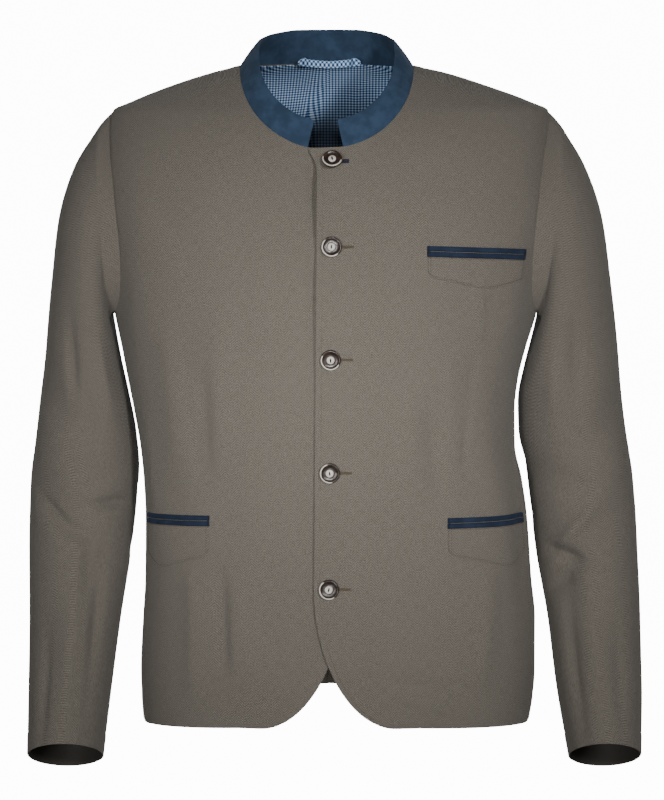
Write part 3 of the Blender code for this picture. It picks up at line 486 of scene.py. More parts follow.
def body_normal(angle, z, creased=True):
    """Outward directions of the body's face."""
    around = body_point(angle + NORMAL_TURN, z, creased) - body_point(angle - NORMAL_TURN, z, creased)
    up = body_point(angle, z + NORMAL_RISE, creased) - body_point(angle, z - NORMAL_RISE, creased)
    return unit(np.cross(around, up))


def angle_at(x, z):
    """Angle on the front at which the body passes a distance x from the middle."""
    x, z = np.broadcast_arrays(np.asarray(x, float), np.asarray(z, float))
    half = np.where(x > 0.0, body_value("left_half", z), body_value("right_half", z))
    power = body_value("squareness", z)
    share = np.clip(np.abs(x) / half, 0.0, 0.9999)
    rest = (1.0 - share ** power) ** (1.0 / power)
    return np.sign(x) * np.degrees(np.arctan2(share, rest))


def side_seam_place(side, z):
    """Angle and height on a side seam, which swings forward from the armpit to the hip."""
    part = smooth_step((ARMPIT_Z - z) / (ARMPIT_Z - SIDE_SEAM_HIP_Z))
    return np.array((side * (SIDE_SEAM_ARMPIT + (SIDE_SEAM_HIP - SIDE_SEAM_ARMPIT) * part), z))


def armhole_place(side, step):
    """Angle and height on the armhole; step 0 is the shoulder, 12 the armpit, 6 the front, 18 the back."""
    turn = np.pi * step / ARM_STEPS
    low = 0.5 * (1.0 - np.cos(turn))
    width = np.where(np.sin(turn) > 0.0, ARMHOLE_FRONT, ARMHOLE_BACK)
    middle = SHOULDER_SEAM + (SIDE_SEAM_ARMPIT - SHOULDER_SEAM) * low
    return np.stack((side * (middle - width * np.sin(turn)), SHOULDER_Z + (ARMPIT_Z - SHOULDER_Z) * low), -1)


def front_neck_place(side, turn):
    """Angle and height on the front neck edge; turn runs from 0 at the middle to 90 at the side."""
    swing = np.radians(turn)
    z = NECK_SIDE_Z + (NECK_FRONT_Z - NECK_SIDE_Z) * np.cos(swing)
    angle = np.where(turn >= 89.999, side * SHOULDER_SEAM,
                     angle_at(NECK_CENTRE_X + side * NECK_HALF * np.sin(swing), z))
    return np.stack((angle, z), -1)


def back_neck_place(side, turn):
    """Angle and height on the back neck edge; turn runs from 0 at the side to 90 at the middle."""
    rise = smooth_step(turn / 90.0)
    return np.stack((side * (SHOULDER_SEAM + turn), NECK_SIDE_Z + (NECK_BACK_Z - NECK_SIDE_Z) * rise), -1)


def even_place(place_of, start, end, part):
    """Places at even parts of an edge's length."""
    turns = np.linspace(start, end, 241)
    points = body_point(*place_of(turns).T, creased=False)
    travelled = travelled_along(points)
    return place_of(np.interp(np.asarray(part) * travelled[-1], travelled, turns))


def front_neck(side, part):
    """Place on a front's neck edge, from the collar's end (0) to the shoulder seam (1)."""
    gap = COLLAR_GAP_LEFT if side > 0 else COLLAR_GAP_RIGHT
    start = np.degrees(np.arcsin(abs(gap - NECK_CENTRE_X) / NECK_HALF))
    return even_place(lambda turn: front_neck_place(side, turn), start, 90.0, part)


def back_neck(side, part):
    """Place on a back's neck edge, from the centre back (0) to the shoulder seam (1)."""
    return even_place(lambda turn: back_neck_place(side, turn), 90.0, 0.0, part)


def closing_x(z):
    """Distance of the closing line from the middle of the body."""
    return np.interp(z, (CLOSING_LOW_Z, CLOSING_TOP_Z), (CLOSING_LOW_X, CLOSING_TOP_X))


def edge_past_centre(z):
    """How far a front edge passes the closing line; less than nothing where it curves away."""
    flare = CORNER_FLARE * np.exp(-((z - NECK_FRONT_Z) / CORNER_FLARE_HEIGHT) ** 2)
    fall = np.clip((CUTAWAY_TOP_Z - z) / (CUTAWAY_TOP_Z - HEM_FRONT_Z), 0.0, 1.0)
    return LAP_HALF + flare - CUTAWAY_WIDTH * (1.0 - np.sqrt(np.maximum(0.0, 1.0 - fall ** CUTAWAY_POWER)))


def row_end(side, row, steps_after):
    """Where a row meets the side seam or the armhole."""
    if row >= ARMPIT_ROW:
        return armhole_place(side, steps_after)
    height = np.interp(row, np.arange(ARMPIT_ROW), LOWER_HEIGHTS)
    below = (ARMPIT_Z - HEM_SIDE_Z - BELOW_ARMPIT) / LOWER_HEIGHTS[-1]
    z = HEM_SIDE_Z + height * below
    if row > ARMPIT_ROW - 1:
        z += (row - ARMPIT_ROW + 1) * (ARMPIT_Z - z)
    return side_seam_place(side, z)


def front_x(place):
    """Distance of a place on the form from its middle."""
    return float(body_point(place[0], place[1], creased=False)[0])


def front_row(side, row):
    """Places across a front: level next to its edge, and straight from the neck up."""
    end = row_end(side, row, ARM_STEPS - (row - ARMPIT_ROW))
    neck = front_neck(side, max(0.0, row - FRONT_NECK_ROW) / (LAST_ROW - FRONT_NECK_ROW))
    neck_past = -side * (front_x(neck) - closing_x(neck[1]))
    armpit_z = HEM_FRONT_Z + LOWER_HEIGHTS[-1] + ARMPIT_EDGE_RISE
    heights = np.append(HEM_FRONT_Z + LOWER_HEIGHTS, (armpit_z, NECK_FRONT_Z))
    z = np.interp(row, np.append(np.arange(ARMPIT_ROW + 1), FRONT_NECK_ROW - 1), heights)
    to_neck = np.clip(row - FRONT_NECK_ROW + 1, 0.0, 1.0)
    z = z + (neck[1] - z) * to_neck
    past = edge_past_centre(z) * (1.0 - to_neck) + neck_past * to_neck
    stretch = (EDGE_COLUMNS[-1] + past) / (EDGE_COLUMNS[-1] - EDGE_COLUMNS[0])
    distances = EDGE_COLUMNS[-1] - (EDGE_COLUMNS[-1] - EDGE_COLUMNS) * stretch
    near = np.stack((angle_at(closing_x(z) + side * distances, z), np.full(len(distances), z)), -1)
    near[0] = near[0] + (neck - near[0]) * (row >= FRONT_NECK_ROW)
    far = np.linspace(0.0, 1.0, FRONT_SIDE_COLUMNS + 1)[1:, None]
    level = np.concatenate((near, near[-1] + (end - near[-1]) * far))
    straight = level[0] + (end - level[0]) * np.linspace(0.0, 1.0, len(level))[:, None]
    share = np.clip((row - ARMPIT_ROW) / FRONT_RISE_STEPS, 0.0, 1.0)
    beyond = np.clip((np.arange(len(level)) - LAP_COLUMNS) / TILT_COLUMNS, 0.0, 1.0)
    share = np.maximum(share * beyond, np.clip(row - FRONT_NECK_ROW, 0.0, 1.0))[:, None]
    return level + (straight - level) * share


def back_row(side, row):
    """Places across a back, from the middle to its side."""
    end = row_end(side, row, ARM_STEPS + row - ARMPIT_ROW)
    if row < ARMPIT_ROW:
        height = np.interp(row, np.arange(ARMPIT_ROW), LOWER_HEIGHTS)
        z = HEM_BACK_Z + height * (ARMPIT_Z - HEM_BACK_Z - BELOW_ARMPIT) / LOWER_HEIGHTS[-1]
        if row > ARMPIT_ROW - 1:
            z += (row - ARMPIT_ROW + 1) * BELOW_ARMPIT
        start = np.array((side * 180.0, z))
    elif row < BACK_NECK_ROW:
        rise = 1.0 - (1.0 - (row - ARMPIT_ROW) / BACK_RISE_STEPS) ** BACK_RISE_EASE
        start = np.array((side * 180.0, ARMPIT_Z + (NECK_BACK_Z - ARMPIT_Z) * rise))
    else:
        start = back_neck(side, (row - BACK_NECK_ROW) / (LAST_ROW - BACK_NECK_ROW))
    return start + (end - start) * np.linspace(0.0, 1.0, BACK_COLUMNS + 1)[:, None]


def lap_push(x):
    """How far the under front lies beneath the form, near the centre line."""
    return LAP_DEPTH * smooth_step((x + LAP_FADE_START) / LAP_FADE_WIDTH)


# Grids


def fine_marks(travelled, step, first=True, last=True):
    """Even marks along a length, closer together next to its ends; returned as places between knots."""
    length = travelled[-1]
    start = EDGE_STEPS if first else EDGE_STEPS[:1]
    end = length - (EDGE_STEPS if last else EDGE_STEPS[:1])
    count = max(2, int(round((end[-1] - start[-1]) / step)))
    middle = np.linspace(start[-1], end[-1], count + 1)[1:-1]
    marks = np.concatenate((start, middle, end[::-1]))
    return np.interp(marks, travelled, np.arange(len(travelled), dtype=float))


def travelled_along(points):
    """Distance travelled along a row of points, from the first."""
    return np.concatenate(((0.0,), np.cumsum(np.linalg.norm(np.diff(points, axis=0), axis=1))))


def lengths(points, axis):
    """Distance travelled along each row or column of a grid, from its first point."""
    steps = np.linalg.norm(np.diff(points, axis=axis), axis=-1)
    gap = np.zeros_like(np.take(steps, (0,), axis=axis))
    return np.concatenate((gap, np.cumsum(steps, axis=axis)), axis=axis)


def panel_places(row_of):
    """A fine grid of places on a panel, as angles and heights."""
    count = LAST_ROW * KNOTS_BETWEEN_ROWS + 1
    knots = np.linspace(0.0, LAST_ROW, count)
    coarse = np.array([row_of(row) for row in knots])
    middle = coarse.shape[1] // 2
    points = body_point(coarse[..., 0], coarse[..., 1], creased=False)
    row_marks = fine_marks(travelled_along(points[:, middle]), GRID_STEP)
    column_marks = fine_marks(travelled_along(points[count // 3]), GRID_STEP)
    rows = np.array([row_of(row) for row in np.interp(row_marks, np.arange(count), knots)])
    columns = np.arange(rows.shape[1], dtype=float)
    angle = np.array([np.interp(column_marks, columns, row[:, 0]) for row in rows])
    z = np.array([np.interp(column_marks, columns, row[:, 1]) for row in rows])
    return angle, z


def add_object(name, data):
    thing = bpy.data.objects.new(name, data)
    bpy.context.scene.collection.objects.link(thing)
    return thing


def signed_volume(points, faces):
    """Six times the volume within four-sided faces, less than nothing if they face inwards."""
    a, b, c, d = (points[faces[:, k]] for k in range(4))
    return float((a * np.cross(b, c)).sum() + (a * np.cross(c, d)).sum())


def make_piece(name, points, faces, uv, materials, face_materials=None):
    """A smooth shaded mesh object at the origin, with its own map in metres, facing outwards."""
    points = np.asarray(points, float)
    faces = np.asarray(faces, int)
    if signed_volume(points, faces) < 0.0:
        faces = faces[:, ::-1]
    mesh = bpy.data.meshes.new(name)
    mesh.from_pydata(points.tolist(), [], faces.tolist())
    layer = mesh.uv_layers.new(name="Cloth")
    layer.data.foreach_set("uv", np.asarray(uv, np.float32)[faces.ravel()].ravel())
    for material in materials:
        mesh.materials.append(material)
    if face_materials is not None:
        mesh.polygons.foreach_set("material_index", np.asarray(face_materials, np.int32))
    mesh.shade_smooth()
    mesh.update()
    return add_object(name, mesh)


def between(name, outer, inner, uv, materials, inside=0):
    """A closed piece between two grids of points; inside is the number of its inner face's material."""
    rows, columns = outer.shape[:2]
    count = rows * columns
    index = np.arange(count).reshape(rows, columns)
    skin = np.stack((index[:-1, :-1], index[:-1, 1:], index[1:, 1:], index[1:, :-1]), -1).reshape(-1, 4)
    border = np.concatenate((np.arange(columns), np.arange(2 * columns - 1, count, columns),
                             np.arange(count - 2, count - columns - 1, -1),
                             np.arange(count - 2 * columns, 0, -columns)))
    after = np.roll(border, -1)
    rim = np.stack((border, border + count, after + count, after), -1)
    faces = np.concatenate((skin, skin[:, ::-1] + count, rim))
    marks = np.zeros(len(faces))
    marks[len(skin):2 * len(skin)] = inside
    both = np.concatenate((outer.reshape(-1, 3), inner.reshape(-1, 3)))
    return make_piece(name, both, faces, np.concatenate((uv.reshape(-1, 2),) * 2), materials, marks)


def edge_rounding(distance, wall, sewn):
    """How far a skin draws in towards the middle of the wall, next to an edge."""
    rest = 1.0 - np.clip(distance / (SEWN_ROUND if sewn else EDGE_ROUND), 0.0, 1.0)
    return (0.14 if sewn else 0.42) * wall * (1.0 - np.sqrt(1.0 - 0.98 * rest * rest))


def seam_groove(distance):
    return GROOVE_DEPTH * np.exp(-(distance / GROOVE_WIDTH) ** 2)


def seam_relief(distance, width):
    """How far cloth lies higher next to a seam, over its turning inside."""
    return SEAM_RELIEF * smooth_step(distance / 0.002) * smooth_step((width - distance) / 0.003)


def hem_relief(distance, line, height):
    """How far cloth lies higher over its turned hem, and lower along the hem's sewn line."""
    return height * smooth_step((line - distance) / 0.002) - HEM_GROOVE * np.exp(-((distance - line) / 0.0016) ** 2)


def shell(name, points, normals, uv, materials, wall=WALL, seams="", tucked="", inside=0):
    """A closed thin shell below a grid of outer points; seams and tucked name its sewn edges: l r b t."""
    across, up = lengths(points, 1), lengths(points, 0)
    edges = {"l": across, "r": across[:, -1:] - across, "b": up, "t": up[-1:] - up}
    round_in = sum(edge_rounding(distance, wall, edge in seams + tucked) for edge, distance in edges.items())
    round_in = np.minimum(round_in, 0.42 * wall)
    groove = sum((seam_groove(edges[edge]) for edge in seams), np.zeros(across.shape))
    outer = points - normals * (round_in + groove)[..., None]
    inner = points - normals * (wall - round_in + 0.6 * groove)[..., None]
    return between(name, outer, inner, uv, materials, inside)


def grid_normals(points):
    """Directions square to a grid of points."""
    across = np.gradient(points, axis=1)
    up = np.gradient(points, axis=0)
    return unit(np.cross(across, up))


def draw_seams_back(points, seams):
    """Moves the sewn edges of a grid back by half the gap between two pieces."""
    half = 0.5 * SEWN_GAP
    if "l" in seams:
        points[:, 0] += unit(points[:, 1] - points[:, 0]) * half
    if "r" in seams:
        points[:, -1] += unit(points[:, -2] - points[:, -1]) * half
    if "t" in seams:
        points[-1] += unit(points[-2] - points[-1]) * half
    return points


# How the cloth was cut: the grain, in metres across and up


def grain_map(angle, z):
    """Metres round the body and metres up it, for the weave."""
    angles = np.linspace(-180.0, 180.0, 361)
    heights = np.linspace(-0.70, 0.012, 180)
    grid = body_point(*np.meshgrid(angles, heights), creased=False)
    across = lengths(grid, 1)
    across = across - across[:, 180:181]
    slope = np.gradient(grid[..., 1], heights, axis=0)
    climb = np.cumsum(np.sqrt(1.0 + np.clip(slope, -1.6, 1.6) ** 2), axis=0) * (heights[1] - heights[0])
    i = np.clip((z - heights[0]) / (heights[1] - heights[0]), 0, len(heights) - 1.001)
    j = np.clip((angle + 180.0), 0, 359.999)
    i0, j0 = i.astype(int), j.astype(int)
    s, t = i - i0, j - j0
    values = []
    for table in (across, climb):
        low = table[i0, j0] * (1.0 - t) + table[i0, j0 + 1] * t
        high = table[i0 + 1, j0] * (1.0 - t) + table[i0 + 1, j0 + 1] * t
        values.append(low * (1.0 - s) + high * s)
    return np.stack(values, -1)


# Panels of the body


def panel_points(angle, z, under=False):
    """Outer points and outward directions of a body panel at its places."""
    points = body_point(angle, z)
    normals = body_normal(angle, z)
    if under:
        points = points - normals * (lap_push(points[..., 0:1]) + under_trough(points[..., 0:1], z[..., None]))
    else:
        points = points + normals * edge_lift(angle, points[..., 0], z)[..., None]
    return points, normals


def under_trough(x, z):
    """How far the under front sinks beside the over front's edge."""
    gap = closing_x(z) - LAP_HALF - x
    high = smooth_step((-0.085 - z) / 0.020) * smooth_step((z + 0.165) / 0.040)
    low = smooth_step((-0.170 - z) / 0.050) * smooth_step((z + 0.330) / 0.060)
    deep = TROUGH_EVERYWHERE + TROUGH_HIGH * high + TROUGH_LOW * low
    return deep * np.exp(-((gap - 0.0016) / (0.0026 + 0.0040 * high)) ** 2)


def edge_lift(angle, x, z):
    """How far the over front's edge stands off the under front between its upper buttons."""
    past = x - closing_x(z) + LAP_HALF
    high = smooth_step((-0.100 - z) / 0.020) * smooth_step((z + 0.186) / 0.026)
    low = smooth_step((-0.186 - z) / 0.030) * smooth_step((z + 0.285) / 0.050)
    lift = (EDGE_LIFT_HIGH * high + EDGE_LIFT_LOW * low) * np.exp(-np.maximum(past, 0.0) / EDGE_LIFT_REACH)
    return np.where((np.abs(angle) < 45.0) & (past > -0.002), lift, 0.0)


def tuck_middle(points, normals, angle):
    """Slips the right back's middle edge just under the left back's, so that no light shows between."""
    for edge, beside in ((0, 1), (-1, -2)):
        if angle[0, edge] < -179.9:
            way = unit(points[:, edge] - points[:, beside])
            points[:, edge] += way * (TUCK + SEWN_GAP) - normals[:, edge] * TUCK_DEPTH
    return points


def sewn_shell(name, angle, z, seams, under):
    """A body panel: pressed seams, a turned hem with its sewn line, and the form's folds."""
    points, normals = panel_points(angle, z, under)
    points = draw_seams_back(points, seams)
    points = tuck_middle(points, normals, angle)
    across, up = lengths(points, 1), lengths(points, 0)
    relief = np.zeros(across.shape)
    for edge, distance in (("r", across[:, -1:] - across), ("l", across)):
        if edge in seams:
            relief += seam_relief(distance, PANEL_TURNING)
    relief += hem_relief(up, scene_sizes().hem_depth, PANEL_HEM)
    if "l" not in seams:
        relief += 0.0004 * smooth_step((EDGE_SEWING - across) / 0.0016)
        relief -= 0.0003 * np.exp(-((across - EDGE_SEWING) / 0.0010) ** 2)
    points = points + normals * relief[..., None]
    return shell(name, points, normals, grain_map(angle, z), [main_cloth()], seams=seams)


def make_panels(kind, row_of, seams):
    """Both body panels of a kind; the right front lies under the left one."""
    for side, label in SIDES:
        angle, z = panel_places(lambda row, s=side: row_of(s, row))
        name = "cloth_%s_%s" % (kind, label)
        piece = sewn_shell(name, angle, z, seams, kind == "front" and side < 0)
        note_cut(name, body_point(angle, z, creased=False))
        settle(piece, "cloth", "%s_%s" % (kind, label))


def scene_sizes():
    return bpy.context.scene.jacket_cloth


# Sleeves


def sleeve_value(column, along):
    return read_curve(*SLEEVE_CURVES[column], along)


def step_turn(along, step):
    """Angle round the sleeve of a step; both seams swing round the arm on their way to the cuff."""
    swing = smooth_step((along - SEAM_SWING_START) / SEAM_SWING_LENGTH)
    front = 180.0 * FRONT_SLEEVE_SEAM / ARM_STEPS + FRONT_SEAM_TURN * swing
    back = 180.0 * BACK_SLEEVE_SEAM / ARM_STEPS + BACK_SEAM_TURN * swing
    under_steps = BACK_SLEEVE_SEAM - FRONT_SLEEVE_SEAM
    below = front + (back - front) * (step - FRONT_SLEEVE_SEAM) / under_steps
    past = (step - BACK_SLEEVE_SEAM) % (2 * ARM_STEPS)
    above = back + (front + 360.0 - back) * past / (2 * ARM_STEPS - under_steps)
    return np.where((step >= FRONT_SLEEVE_SEAM) & (step <= BACK_SLEEVE_SEAM), below, above)


def crease_height(side, along, around):
    """How far the creases lift a sleeve's cloth; the two sleeves crease in their own ways."""
    height = np.zeros(np.broadcast(along, around).shape)
    fine = FINE_CREASES_LEFT if side > 0 else FINE_CREASES_RIGHT
    strength = scene_sizes().crease_strength
    for creases, shift, scale in ((SLEEVE_CREASES, LEFT_CREASE_SHIFT * (side > 0), 1.0), (fine, 0.0, strength)):
        for crease in creases:
            swing = (around - crease.around + 180.0) % 360.0 - 180.0
            across = swing / crease.half_around
            middle = crease.along + shift + crease.slant * swing
            height += scale * crease.depth * np.exp(
                -across * across - ((along - middle) / crease.half_along) ** 2)
    return height


def sleeve_point(side, along, step):
    """Points of a sleeve's outer face."""
    along, step = np.broadcast_arrays(np.asarray(along, float), np.asarray(step, float))
    label = "left" if side > 0 else "right"
    around = step_turn(along, step)
    turn = np.radians(around)
    lift = crease_height(side, along, around)
    outer_x = side * sleeve_value("outer_" + label, along)
    inner_x = side * sleeve_value("inner_" + label, along)
    outer_z, inner_z = sleeve_value("outer_z", along), sleeve_value("inner_z", along)
    half = 0.5 * np.hypot(outer_x - inner_x, outer_z - inner_z)
    share = (1.0 + lift / half) * np.cos(turn)
    depth = sleeve_value("half_depth", along)
    x = 0.5 * (outer_x + inner_x) + 0.5 * (outer_x - inner_x) * share
    z = 0.5 * (outer_z + inner_z) + 0.5 * (outer_z - inner_z) * share
    y = sleeve_value("centre_y", along) - (depth + lift) * np.sin(turn)
    return np.stack((x, y, z + sleeve_value("tilt", along) * depth * np.sin(turn)), -1)


def armhole_edge(side, steps):
    """Points just past the armhole, and the ways out of the body and away from its edge."""
    place = armhole_place(side, steps)
    points = body_point(place[:, 0], place[:, 1])
    normals = body_normal(place[:, 0], place[:, 1])
    ahead, behind = armhole_place(side, steps + 0.05), armhole_place(side, steps - 0.05)
    along = body_point(*ahead.T) - body_point(*behind.T)
    away = unit(np.cross(normals, along))
    centre = body_point(side * SHOULDER_SEAM, 0.5 * (SHOULDER_Z + ARMPIT_Z))
    away *= np.sign(((centre - points) * away).sum(-1, keepdims=True))
    return points - away * TUCK - normals * TUCK_DEPTH, normals, away


def sleeve_grid(side, rows, steps):
    """Outer points of a sleeve; row 0 is the armhole, row 1 the table's first ring, then half rings."""
    edge, normals, away = armhole_edge(side, steps)
    along = np.maximum(rows - 1.0, 0.0)[:, None] * 0.5
    points = sleeve_point(side, along, steps[None, :])
    first = sleeve_point(side, 0.0, steps)
    leave = (sleeve_point(side, 0.04, steps) - first) / 0.08
    start = (first - edge) + normals * 0.004
    for k, row in enumerate(rows):
        if row < 1.0:
            t = row
            points[k] = ((1 + 2 * t) * (1 - t) ** 2 * edge + t * (1 - t) ** 2 * start
                         + t * t * (3 - 2 * t) * first - t * t * (1 - t) * leave)
    return points, away


def make_sleeve_piece(name, side, start_step, end_step, materials):
    """One piece of a sleeve, from its back or front seam round to the other."""
    rows = np.linspace(0.0, 2 * (len(SLEEVE_RINGS) - 1) + 1.0, 200)
    middle, _ = sleeve_grid(side, rows, np.array((0.5 * (start_step + end_step),)))
    rows = np.interp(fine_marks(travelled_along(middle[:, 0]), GRID_STEP), np.arange(200), rows)
    steps = np.linspace(start_step, end_step, 120)
    ring, _ = sleeve_grid(side, np.array((9.0,)), steps)
    steps = np.interp(fine_marks(travelled_along(ring[0]), GRID_STEP), np.arange(120), steps)
    points, away = sleeve_grid(side, rows, steps)
    normals = grid_normals(points)
    centre = points.mean(axis=1, keepdims=True)
    if ((points - centre) * normals).sum() < 0.0:
        normals = -normals
    near = smooth_step(1.0 - rows / 0.3)[:, None, None]
    lean = np.maximum(0.0, (normals * away[None]).sum(-1, keepdims=True))
    normals = unit(normals - away[None] * lean * near)
    points = draw_seams_back(points, "lr")
    across, up = lengths(points, 1), lengths(points, 0)
    relief = hem_relief(up[-1:] - up, scene_sizes().cuff_depth, SLEEVE_HEM)
    for distance in (across, across[:, -1:] - across):
        relief += seam_relief(distance, SLEEVE_TURNING)
    ease = np.sin(2.0 * np.pi * across / 0.021 + 2.0 * np.sin(across * 60.0))
    relief += 0.00022 * ease * np.exp(-((up - 0.010) / 0.008) ** 2) * smooth_step(up / 0.004)
    points = points + normals * relief[..., None]
    uv = np.stack((across - 0.5 * across[:, -1:], -up), -1)
    note_cut(name, points)
    return shell(name, points, normals, uv, materials, seams="lr", tucked="b", inside=1)


# Collar, lining and loop


def neck_line(count=60):
    """Points just above the whole neck edge, from the right collar end round to the left, and depths."""
    parts = np.linspace(0.0, 1.0, count)
    places = np.concatenate((front_neck(-1, parts), back_neck(-1, parts)[::-1][1:],
                             back_neck(1, parts)[1:], front_neck(1, parts)[::-1][1:]))
    points, normals = panel_points(places[:, 0], places[:, 1])
    under = np.arange(len(places)) < count
    points = np.where(under[:, None], points - normals * lap_push(points[:, 0:1]), points)
    along = np.gradient(points, axis=0)
    away = unit(np.cross(normals, along))
    centre = np.array((NECK_CENTRE_X, -0.01, 0.0))
    away *= np.sign(((centre - points) * away).sum(-1, keepdims=True))
    return points - away * TUCK - normals * TUCK_DEPTH, normals


def collar_grid():
    """Outer points of the collar and the ways out of it, from the neck edge to its top."""
    base, body_out = neck_line()
    travelled = travelled_along(base)
    marks = fine_marks(travelled, TRIM_STEP)
    index = np.arange(len(base), dtype=float)
    base = np.stack([np.interp(marks, index, base[:, k]) for k in range(3)], -1)
    body_out = unit(np.stack([np.interp(marks, index, body_out[:, k]) for k in range(3)], -1))
    centre = np.array((NECK_CENTRE_X, -0.015, 0.0))
    inward = unit((centre - base) * (1.0, 1.0, 0.0))
    angle = np.degrees(np.arctan2(np.abs(base[:, 0] - centre[0]), -(base[:, 1] - centre[1])))
    height = read_curve(*COLLAR_CURVES["height"], angle)[:, None]
    lean = np.radians(read_curve(*COLLAR_CURVES["lean"], angle))[:, None]
    rise = np.array((0.0, 0.0, 1.0)) * np.cos(lean) + inward * np.sin(lean)
    along = unit(np.gradient(base, axis=0))
    length = travelled_along(base)
    taper = np.exp(-(length[-1] - length) / 0.006) - np.exp(-length / 0.006)
    taper = along * (COLLAR_TAPER * taper)[:, None]
    normal = unit(np.cross(rise, along))
    normal = np.where((normal * inward).sum(-1, keepdims=True) > 0.0, -normal, normal)
    parts = fine_marks(np.array((0.0, 0.034)), TRIM_STEP)
    wave = 0.0003 * np.sin(length * 75.0) + 0.0002 * np.sin(length * 143.0 + 1.0)
    points, normals = [], []
    for part in parts:
        full = COLLAR_FULLNESS * np.sin(np.pi * part) + wave * part * (1.0 - 0.4 * part)
        points.append(base + rise * height * part + taper * part + normal * full[:, None])
        first = smooth_step(part * 3.0)
        normals.append(unit(body_out * (1.0 - first) + normal * first))
    return np.array(points), np.array(normals), length, parts


def make_collar(materials):
    points, normals, length, parts = collar_grid()
    uv = np.stack(np.broadcast_arrays(length[None, :] - 0.5 * length[-1], parts[:, None] * 0.035), -1)
    note_cut("cloth_collar", points)
    return shell("cloth_collar", points, normals, uv, materials, tucked="b")


def lining_skin(angle, z):
    """Outer points of the back lining, with its pleat and small wrinkles, and the ways out."""
    side_angle = np.where(angle > 180.0, angle - 360.0, angle)
    points = body_point(side_angle, z, creased=False)
    normals = body_normal(side_angle, z, creased=False)
    turned = 180.0 - np.abs(side_angle)
    fall = smooth_step((NECK_BACK_Z - z) / LINING_PLEAT_START)
    depth = LINING_PLEAT * fall * np.exp(-(turned / LINING_PLEAT_TURN) ** 2)
    drop = np.maximum(NECK_BACK_Z - z, 0.0)
    across = -(points[..., 0] - PLEAT_X + PLEAT_LEAN * drop)
    step = np.where(across > 0.0, np.exp(-across / 0.018), np.exp(across / 0.0007))
    depth = depth + PLEAT_STEP * step * smooth_step(drop / 0.010) * smooth_step((0.2 - drop) / 0.1)
    wrinkles = sum(fold.share * np.exp(-((points[..., 0] - fold.x - fold.lean * drop) / fold.half_width) ** 2)
                   * np.exp(-((drop - fold.drop) / fold.half_drop) ** 2) for fold in LINING_WRINKLES)
    depth = depth + WRINKLE_DEPTH * wrinkles
    return points - normals * (WALL + SEAM_GAP + depth)[..., None], normals, across


def lining_half(side, across, up):
    """Places on half of the lining: across runs from the middle to the armhole, up from its bottom."""
    rows = LINING_BOTTOM_ROW + up * (LAST_ROW - LINING_BOTTOM_ROW)
    bottom = back_row(side, LINING_BOTTOM_ROW)
    columns = np.arange(len(bottom), dtype=float)
    low = np.stack([np.interp(across * (len(bottom) - 2.0), columns, bottom[:, k]) for k in (0, 1)], -1)
    outer = np.array([back_row(side, row)[-2] for row in rows])
    neck = back_neck(side, np.clip(across / LINING_NECK_SHARE, 0.0, 1.0))
    shoulder = np.clip((across - LINING_NECK_SHARE) / (1.0 - LINING_NECK_SHARE), 0.0, 1.0)[:, None]
    high = neck + (outer[-1] - neck) * shoulder
    middle = low[0] + (high[0] - low[0]) * up[:, None]
    s, t = across[None, :, None], up[:, None, None]
    corners = (1 - s) * (1 - t) * low[0] + s * (1 - t) * low[-1] + (1 - s) * t * high[0] + s * t * high[-1]
    return (1 - t) * low + t * high + (1 - s) * middle[:, None] + s * outer[:, None] - corners


def lining_places():
    """Angles, counted on past 180, and heights of the lining, from the right armhole to the left one."""
    up = fine_marks(np.array((0.0, 0.25)), 0.0036)
    across = fine_marks(np.array((0.0, 0.21)), 0.0034, first=False)
    right, left = lining_half(-1, across, up), lining_half(1, across, up)
    right[..., 0] = right[..., 0] + 360.0
    both = np.concatenate((right[:, ::-1], left[:, 1:]), axis=1)
    return both[..., 0], both[..., 1]


def make_lining(materials):
    angle, z = lining_places()
    points, normals, across = lining_skin(angle, z)
    uv = grain_map(np.where(angle > 180.0, angle - 360.0, angle), z)
    uv[..., 0] = points[..., 0]
    past = np.maximum(across, 0.0)
    turn = 0.18 * smooth_step((across + 0.003) / 0.016) * np.exp(-(past / 0.045) ** 2)
    uv[..., 0] = uv[..., 0] + turn * (NECK_BACK_Z - z)
    uv[..., 1] = uv[..., 1] + 0.0075 * (1.0 - np.exp(-past / 0.030))
    note_cut("lining_upper_back", points)
    return shell("lining_upper_back", points, normals, uv, materials, wall=LINING_WALL)


